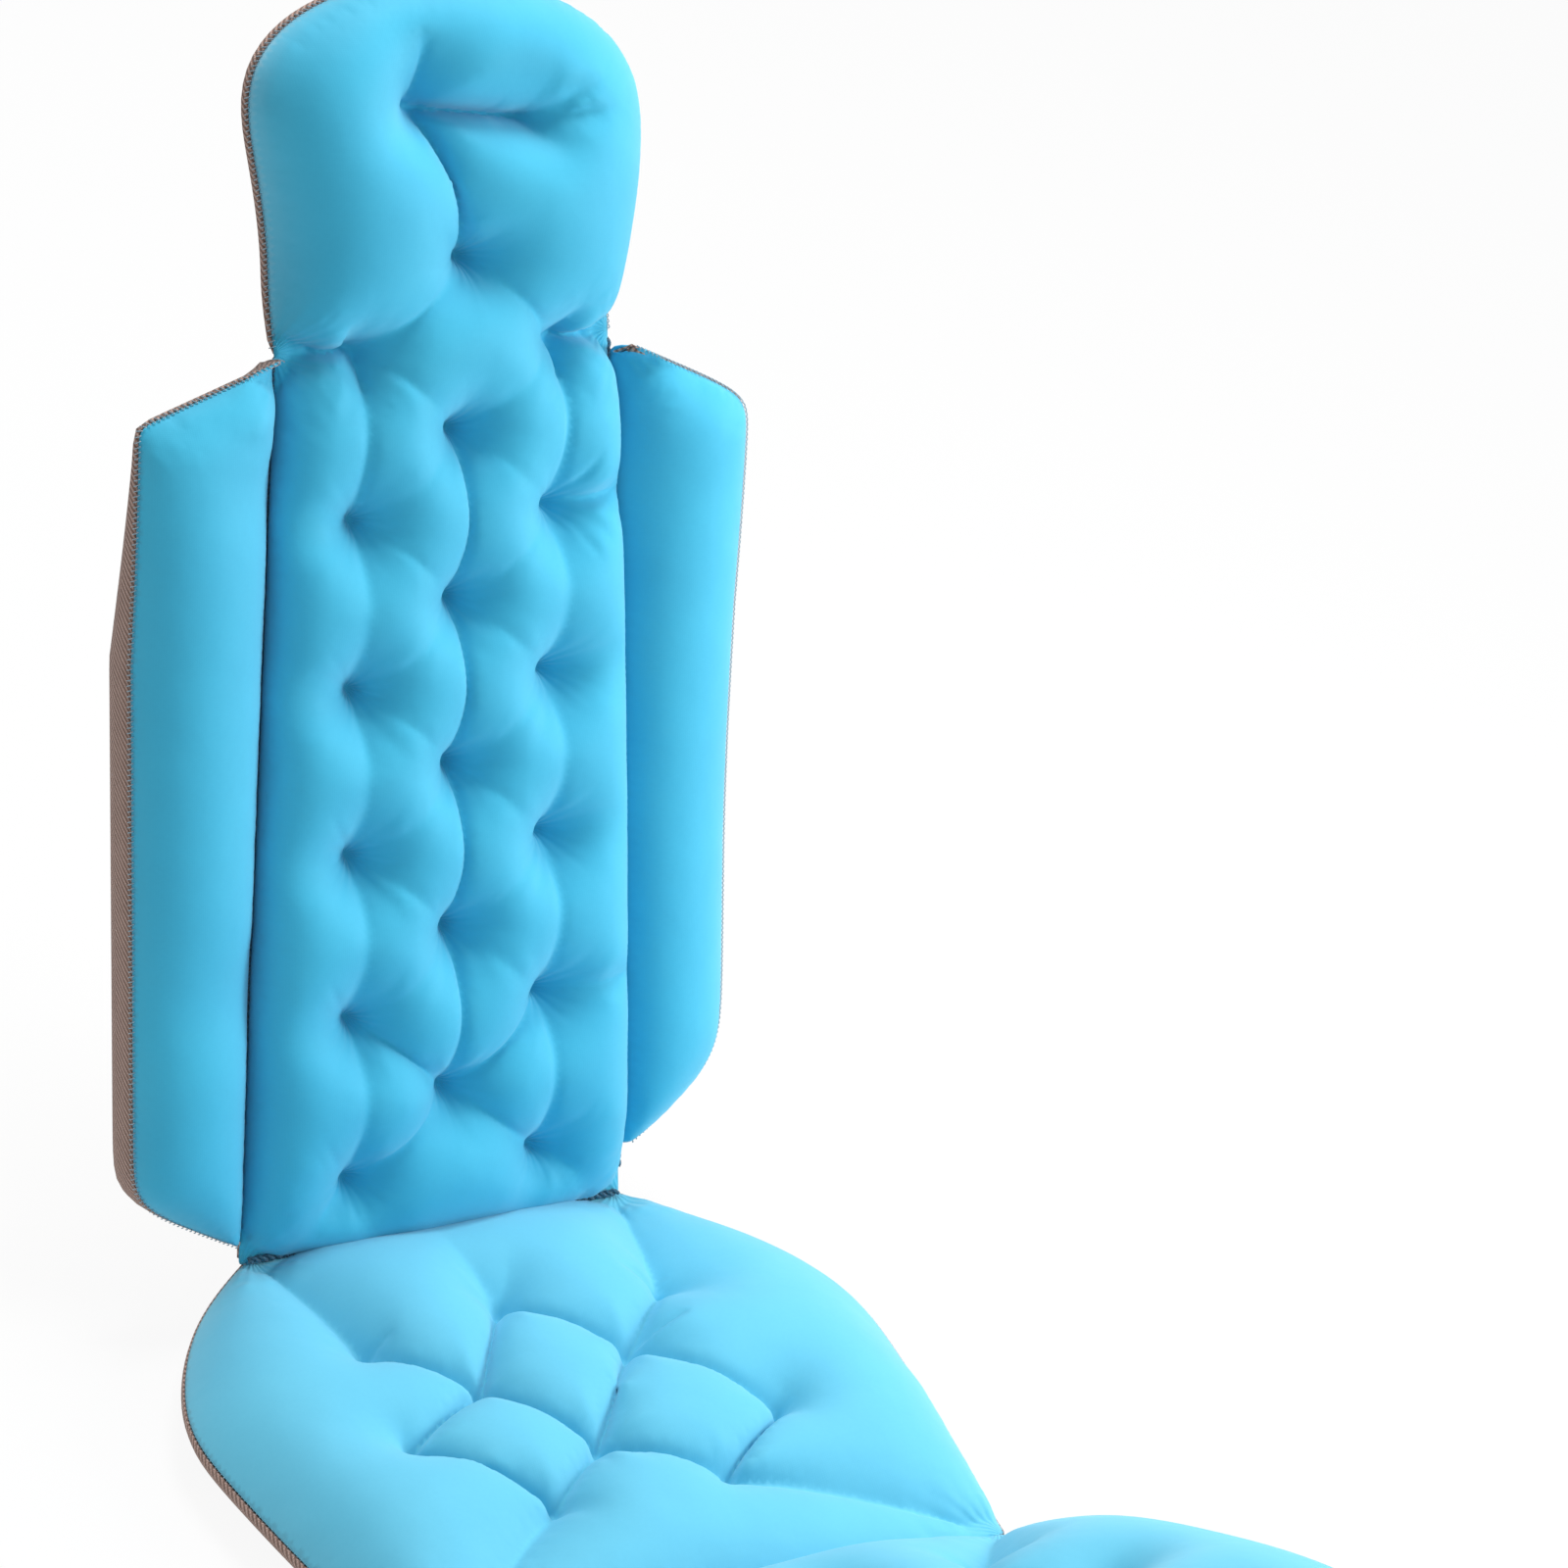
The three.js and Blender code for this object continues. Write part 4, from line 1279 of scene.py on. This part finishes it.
def knit(name, low, high, *folds):
    """The stretch knit, with fine folds that run out from where it is sewn down."""
    made = material(name)
    flat = made.uv()
    loops = made.times(made.wave(flat, 1.1 * MILLIMETRE, "X"), made.wave(flat, 0.9 * MILLIMETRE, "Y"))
    soft, fine = made.noise(flat, 14.0), made.noise(flat, 420.0, 3.0)
    shade = made.math("ADD", made.times(soft, 0.75), made.times(fine, 0.25))
    colour = made.ramp(shade, (0.30, low), (0.70, high))
    normal = made.bump(made.noise(flat, 34.0), 0.30, 3.0)
    for fold in folds:
        normal = made.bump(made.folds(flat, *fold), 0.40, 1.2, normal)
    normal = made.bump(loops, 0.10, 0.15, normal)
    return made.finish(
        Base_Color=colour, Roughness=0.72, Normal=normal, Specular_IOR_Level=0.50,
        Sheen_Weight=0.32, Sheen_Roughness=0.70, Sheen_Tint=(0.72, 0.95, 1.0, 1.0),
    )


def ribbed():
    made = material("ribbed_mesh")
    flat = made.uv(turn=45)
    rib = made.wave(flat, 2.6 * MILLIMETRE, "X", 0.6)
    cross = made.wave(flat, 1.3 * MILLIMETRE, "Y")
    holes = made.times(rib, made.math("ADD", made.times(cross, 0.35), 0.65))
    shade = made.math("ADD", made.times(holes, 0.85), made.times(made.noise(flat, 60.0, 4.0), 0.20))
    dark, middle, pale = (0.155, 0.094, 0.073), (0.410, 0.270, 0.225), (0.620, 0.440, 0.380)
    colour = made.ramp(shade, (0.05, dark), (0.45, middle), (0.95, pale))
    return made.finish(
        Base_Color=colour, Roughness=0.8, Normal=made.bump(holes, 0.8, 0.9), Specular_IOR_Level=0.2,
        Sheen_Weight=0.15,
    )


def spun(name, low, high, lay):
    """Thread or cord: two shades and a fine twist."""
    made = material(name)
    flat = made.uv((1, lay * 4, 1), 35)
    twist = made.wave(flat, lay)
    colour = made.ramp(made.times(twist, made.noise(flat, 300.0)), (0.1, low), (0.5, high))
    return made.finish(Base_Color=colour, Roughness=0.6, Normal=made.bump(twist, 0.4, 0.1), Sheen_Weight=0.2)


def vinyl():
    made = material("clear_vinyl_skin")
    haze = made.noise(made.place(), 90.0, 3.0)
    colour = made.ramp(haze, (0.3, (0.80, 0.86, 0.90)), (0.7, (0.90, 0.94, 0.97)))
    rough = made.ramp(haze, (0.3, (0.10, 0.10, 0.10)), (0.7, (0.20, 0.20, 0.20)))
    return made.finish(Base_Color=colour, Roughness=rough, IOR=1.45, Transmission_Weight=0.75)


def plastic():
    made = material("socket_skin")
    place = made.place()
    worn = made.noise(place, 140.0, 4.0)
    colour = made.ramp(worn, (0.3, (0.62, 0.66, 0.70)), (0.7, (0.74, 0.78, 0.81)))
    normal = made.bump(made.noise(place, 900.0), 0.15, 0.1)
    return made.finish(Base_Color=colour, Roughness=0.42, Normal=normal)


# Finishes. A knit's folds have a place, a count of ripples and a reach, and in rows a period and a limit.
DEEP_BLUE = ((0.008, 0.405, 0.640), (0.016, 0.455, 0.690))
# The seat and leg are the same knit as the back, painted paler: painted light for their upward faces, which catch
# the lamps.
PALE_BLUE_PAINTED_LIGHT = ((0.070, 0.455, 0.655), (0.088, 0.505, 0.705))
NECK_CORNER = (NECK_HALF, BACK_LENGTH)
WAIST_CORNER = (seam_half(0.0), 0.0)
ROWS = (FAR, BACK_TUFT_PITCH)
OUTER_END = BACK_LENGTH - 0.02
MIDDLE_END = 0.560
FINISHES = {
    "knit_back": knit(
        "blue_knit_back", *DEEP_BLUE,
        ((BACK_TUFT_X, BACK_FIRST_TUFT), 13, 0.034, ROWS, OUTER_END),
        ((0.0, BACK_FIRST_TUFT + BACK_TUFT_PITCH / 2), 13, 0.034, ROWS, MIDDLE_END),
        (NECK_CORNER, 25, 0.062), (WAIST_CORNER, 21, 0.060),
    ),
    "knit_wing": knit("blue_knit_wing", *DEEP_BLUE, (NECK_CORNER, 25, 0.070), (WAIST_CORNER, 19, 0.060)),
    # Seat and leg in the paler blue: painted light.
    "knit_seat": knit(
        "blue_knit_seat_painted_light", *PALE_BLUE_PAINTED_LIGHT,
        ((SEAT_WAIST_HALF, 0.0), 21, 0.070), ((SEAT_KNEE_HALF, SEAT_LENGTH), 25, 0.080),
    ),
    "knit_leg": knit("blue_knit_leg_painted_light", *PALE_BLUE_PAINTED_LIGHT, ((LEG_KNEE_HALF, 0.0), 25, 0.080)),
    "spacer_mesh": ribbed(),
    # The fold cords are dark blue so that they show as dark lines along the folds: painted shade.
    "cordage": spun("cord_skin_painted_shade", (0.006, 0.050, 0.090), (0.020, 0.130, 0.210), 1.6 * MILLIMETRE),
    "thread": spun("thread_skin", (0.170, 0.260, 0.320), (0.420, 0.560, 0.640), 0.8 * MILLIMETRE),
    "clear_vinyl": vinyl(),
    "socket_plastic": plastic(),
}
SLOTS = {"thread": "cordage"}


def placed(obj, body, finish, *nodes):
    """Gives a piece its finish and its body, and hides the modelled nodes that it stands for."""
    obj.data.materials.clear()
    obj.data.materials.append(FINISHES[finish])
    "knit_cover" if finish.startswith("knit") else SLOTS.get(finish, finish)
    if body:
        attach(obj, body)
    if nodes:
        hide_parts(*nodes)
    return obj


def soft_nodes(*names):
    return [name + part for name in names for part in ("_cover", "_fill")]


def cushion(body, panel, cover, finish, *nodes):
    """A padded piece on one body."""
    obj = placed(dressed(body + "_cushion", panel, cover), body, finish, *soft_nodes(body), *nodes)


def mesh_back(body, panel, loop, rim, floor, *more):
    placed(tray(body + "_mesh", panel, loop, rim, floor, *more), body, "spacer_mesh", body + "_mesh_back")


def stitched(name, body, panel, path, rim):
    placed(overlock(name + "_overlock", panel, path, rim), body, "thread")


# The backrest and head panel.
back = back_cover()
head_panel = SetPanel(BACK, head_set)
obj = dressed("back_head_cushion", head_panel, back)
twine = ["back_tuft_twine", "head_tuft_twine"]
placed(obj, None, "knit_back", *soft_nodes("back", "head"), *twine)
Vector(BACK.world(0, BACK_LENGTH - NECK_BEND, FOLD_HEIGHT))
Vector(BACK.world(0, BACK_LENGTH + NECK_BEND, FOLD_HEIGHT))
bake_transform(obj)
back_ties = [tie for tie in back.ties if tie.end[1] < BACK_LENGTH - MILLIMETRE]
head_ties = [tie for tie in back.ties if tie.end[1] > BACK_LENGTH + MILLIMETRE]
head_loop = mirrored(head_side())
mesh_back("back", BACK, mirrored(back_side(TRAY_GAP)), back_rim, floor_of(back_fold), back_ties)
mesh_back("head", head_panel, head_loop, head_rim, floor_of(head_fold), head_ties)
placed(tacks("back_tacks", BACK, back_ties), "back", "thread")
placed(tacks("head_tacks", head_panel, head_ties), "head", "thread")
stitched("head", "head", head_panel, head_loop, head_rim)

# The wings.
for name, wing in WINGS.items():
    panel = SetPanel(BACK, wing.set)
    cushion(name, panel, wing.cover(), "knit_wing")
    mesh_back(name, panel, wing.loop(TRAY_GAP), wing.rim, wing.floor)
    stitched(name, name, panel, wing.edge(), wing.rim)

# The seat.
seat = seat_cover()
seat_panel = SetPanel(SEAT, seat_set)
cushion("seat", seat_panel, seat, "knit_seat", "seat_tuft_twine")
mesh_back("seat", seat_panel, mirrored(seat_side()), seat_rim, floor_of(seat_fold), seat.ties, LOW_WALL)
placed(tacks("seat_tacks", seat_panel, seat.ties), "seat", "thread")
stitched("seat_right", "seat", seat_panel, seat_side(), seat_rim)
stitched("seat_left", "seat", seat_panel, flipped(seat_side()), seat_rim)

# The leg rest.
leg = leg_cover()
leg_loop = mirrored(leg_side())
cushion("leg", LEG, leg, "knit_leg", "leg_tuft_twine")
mesh_back("leg", LEG, leg_loop, leg_rim, floor_of(leg_fold), leg.ties, LOW_WALL)
placed(tacks("leg_tacks", LEG, leg.ties), "leg", "thread")
stitched("leg", "leg", LEG, leg_loop, leg_rim)

# Suction cups and fold cords.
CUPS = (
    ("head", BACK, "head"), ("back", BACK, "back"), ("seat_rear", SEAT, "seat"), ("seat_front", SEAT, "seat"),
    ("leg", LEG, "leg"),
)
for side in ("left", "right"):
    for place, panel, body in CUPS:
        cup(place + "_" + side, panel, body)
# The waist cord is lifted into the crevice between back and seat: its dark colour is the seam's painted shadow
# line.
fold_cord("waist_fold", "seat", WAIST_CORD_LIFT * (BACK.up + SEAT.up))
fold_cord("knee_fold", "seat")
fold_cord("neck_fold", "back", -NECK_CORD_DROP * BACK.up)
fold_cord("left_wing_fold", "back")
fold_cord("right_wing_fold", "back")


def camera():
    """The photograph's camera."""
    turn, pitch, roll = (math.radians(angle) for angle in (CAMERA_AZIMUTH, CAMERA_PITCH, CAMERA_ROLL))
    flat = math.cos(pitch)
    back_axis = np.array((math.sin(turn) * flat, -math.cos(turn) * flat, math.sin(pitch)))
    level = np.array((math.cos(turn), math.sin(turn), 0.0))
    upright = np.cross(back_axis, level)
    right = math.cos(roll) * level + math.sin(roll) * upright
    up = math.cos(roll) * upright - math.sin(roll) * level
    place = WAIST - CAMERA_SHIFT_X * right - CAMERA_SHIFT_Y * up + CAMERA_DISTANCE * back_axis
    matrix = np.identity(4)
    matrix[:3] = np.column_stack((right, up, back_axis, place))
    made = bpy.data.objects.new("camera", bpy.data.cameras.new("camera"))
    made.data.lens = CAMERA_LENS
    made.data.sensor_width = CAMERA_SENSOR
    made.matrix_world = Matrix(matrix)
    bpy.context.scene.collection.objects.link(made)
    bpy.context.scene.camera = made


def lamp(name, place, target, size, power):
    made = bpy.data.objects.new(name, bpy.data.lights.new(name, "AREA"))
    made.data.shape = "DISK"
    made.data.size = size
    made.data.energy = power
    made.location = place
    made.rotation_mode = "QUATERNION"
    made.rotation_quaternion = (Vector(target) - Vector(place)).to_track_quat("-Z", "Y")
    made.visible_camera = False
    bpy.context.scene.collection.objects.link(made)


def studio_floor():
    """A plain white floor, which the camera sees as white with a soft shadow."""
    corners = [(x * FLOOR_HALF, y * FLOOR_HALF, 0) for x, y in ((-1, -1), (1, -1), (1, 1), (-1, 1))]
    made = new_object("floor", corners, [(0, 1, 2, 3)])
    skin = material("floor_white")
    skin.tree.nodes.clear()
    plain = skin.add("BsdfDiffuse", {"Color": (FLOOR_GREY, FLOOR_GREY, FLOOR_GREY, 1)}).outputs[0]
    glow = skin.add("Emission", {"Color": (1, 1, 1, 1), "Strength": 1.0}).outputs[0]
    seen = skin.blend(skin.shown_white(), plain, skin.blend(FLOOR_WHITE, plain, glow))
    skin.add("OutputMaterial", {"Surface": seen})
    made.data.materials.append(skin.owner)


def sky():
    """Soft light from all sides, which the camera sees as white."""
    studio = Nodes(bpy.data.worlds.new("studio"))
    light = studio.tree.nodes["Background"]
    studio.put(light.inputs["Strength"], AMBIENT)
    studio.put(light.inputs["Color"], (0.97, 0.99, 1.0, 1))
    white = studio.add("Background", {"Color": (1, 1, 1, 1)}).outputs[0]
    seen = studio.blend(studio.shown_white(), light.outputs[0], white)
    studio.put(studio.tree.nodes["World Output"].inputs["Surface"], seen)
    bpy.context.scene.world = studio.owner


camera()
studio_floor()
sky()
for row in LAMPS:
    lamp(*row)
bpy.context.scene.view_settings.view_transform = "Standard"
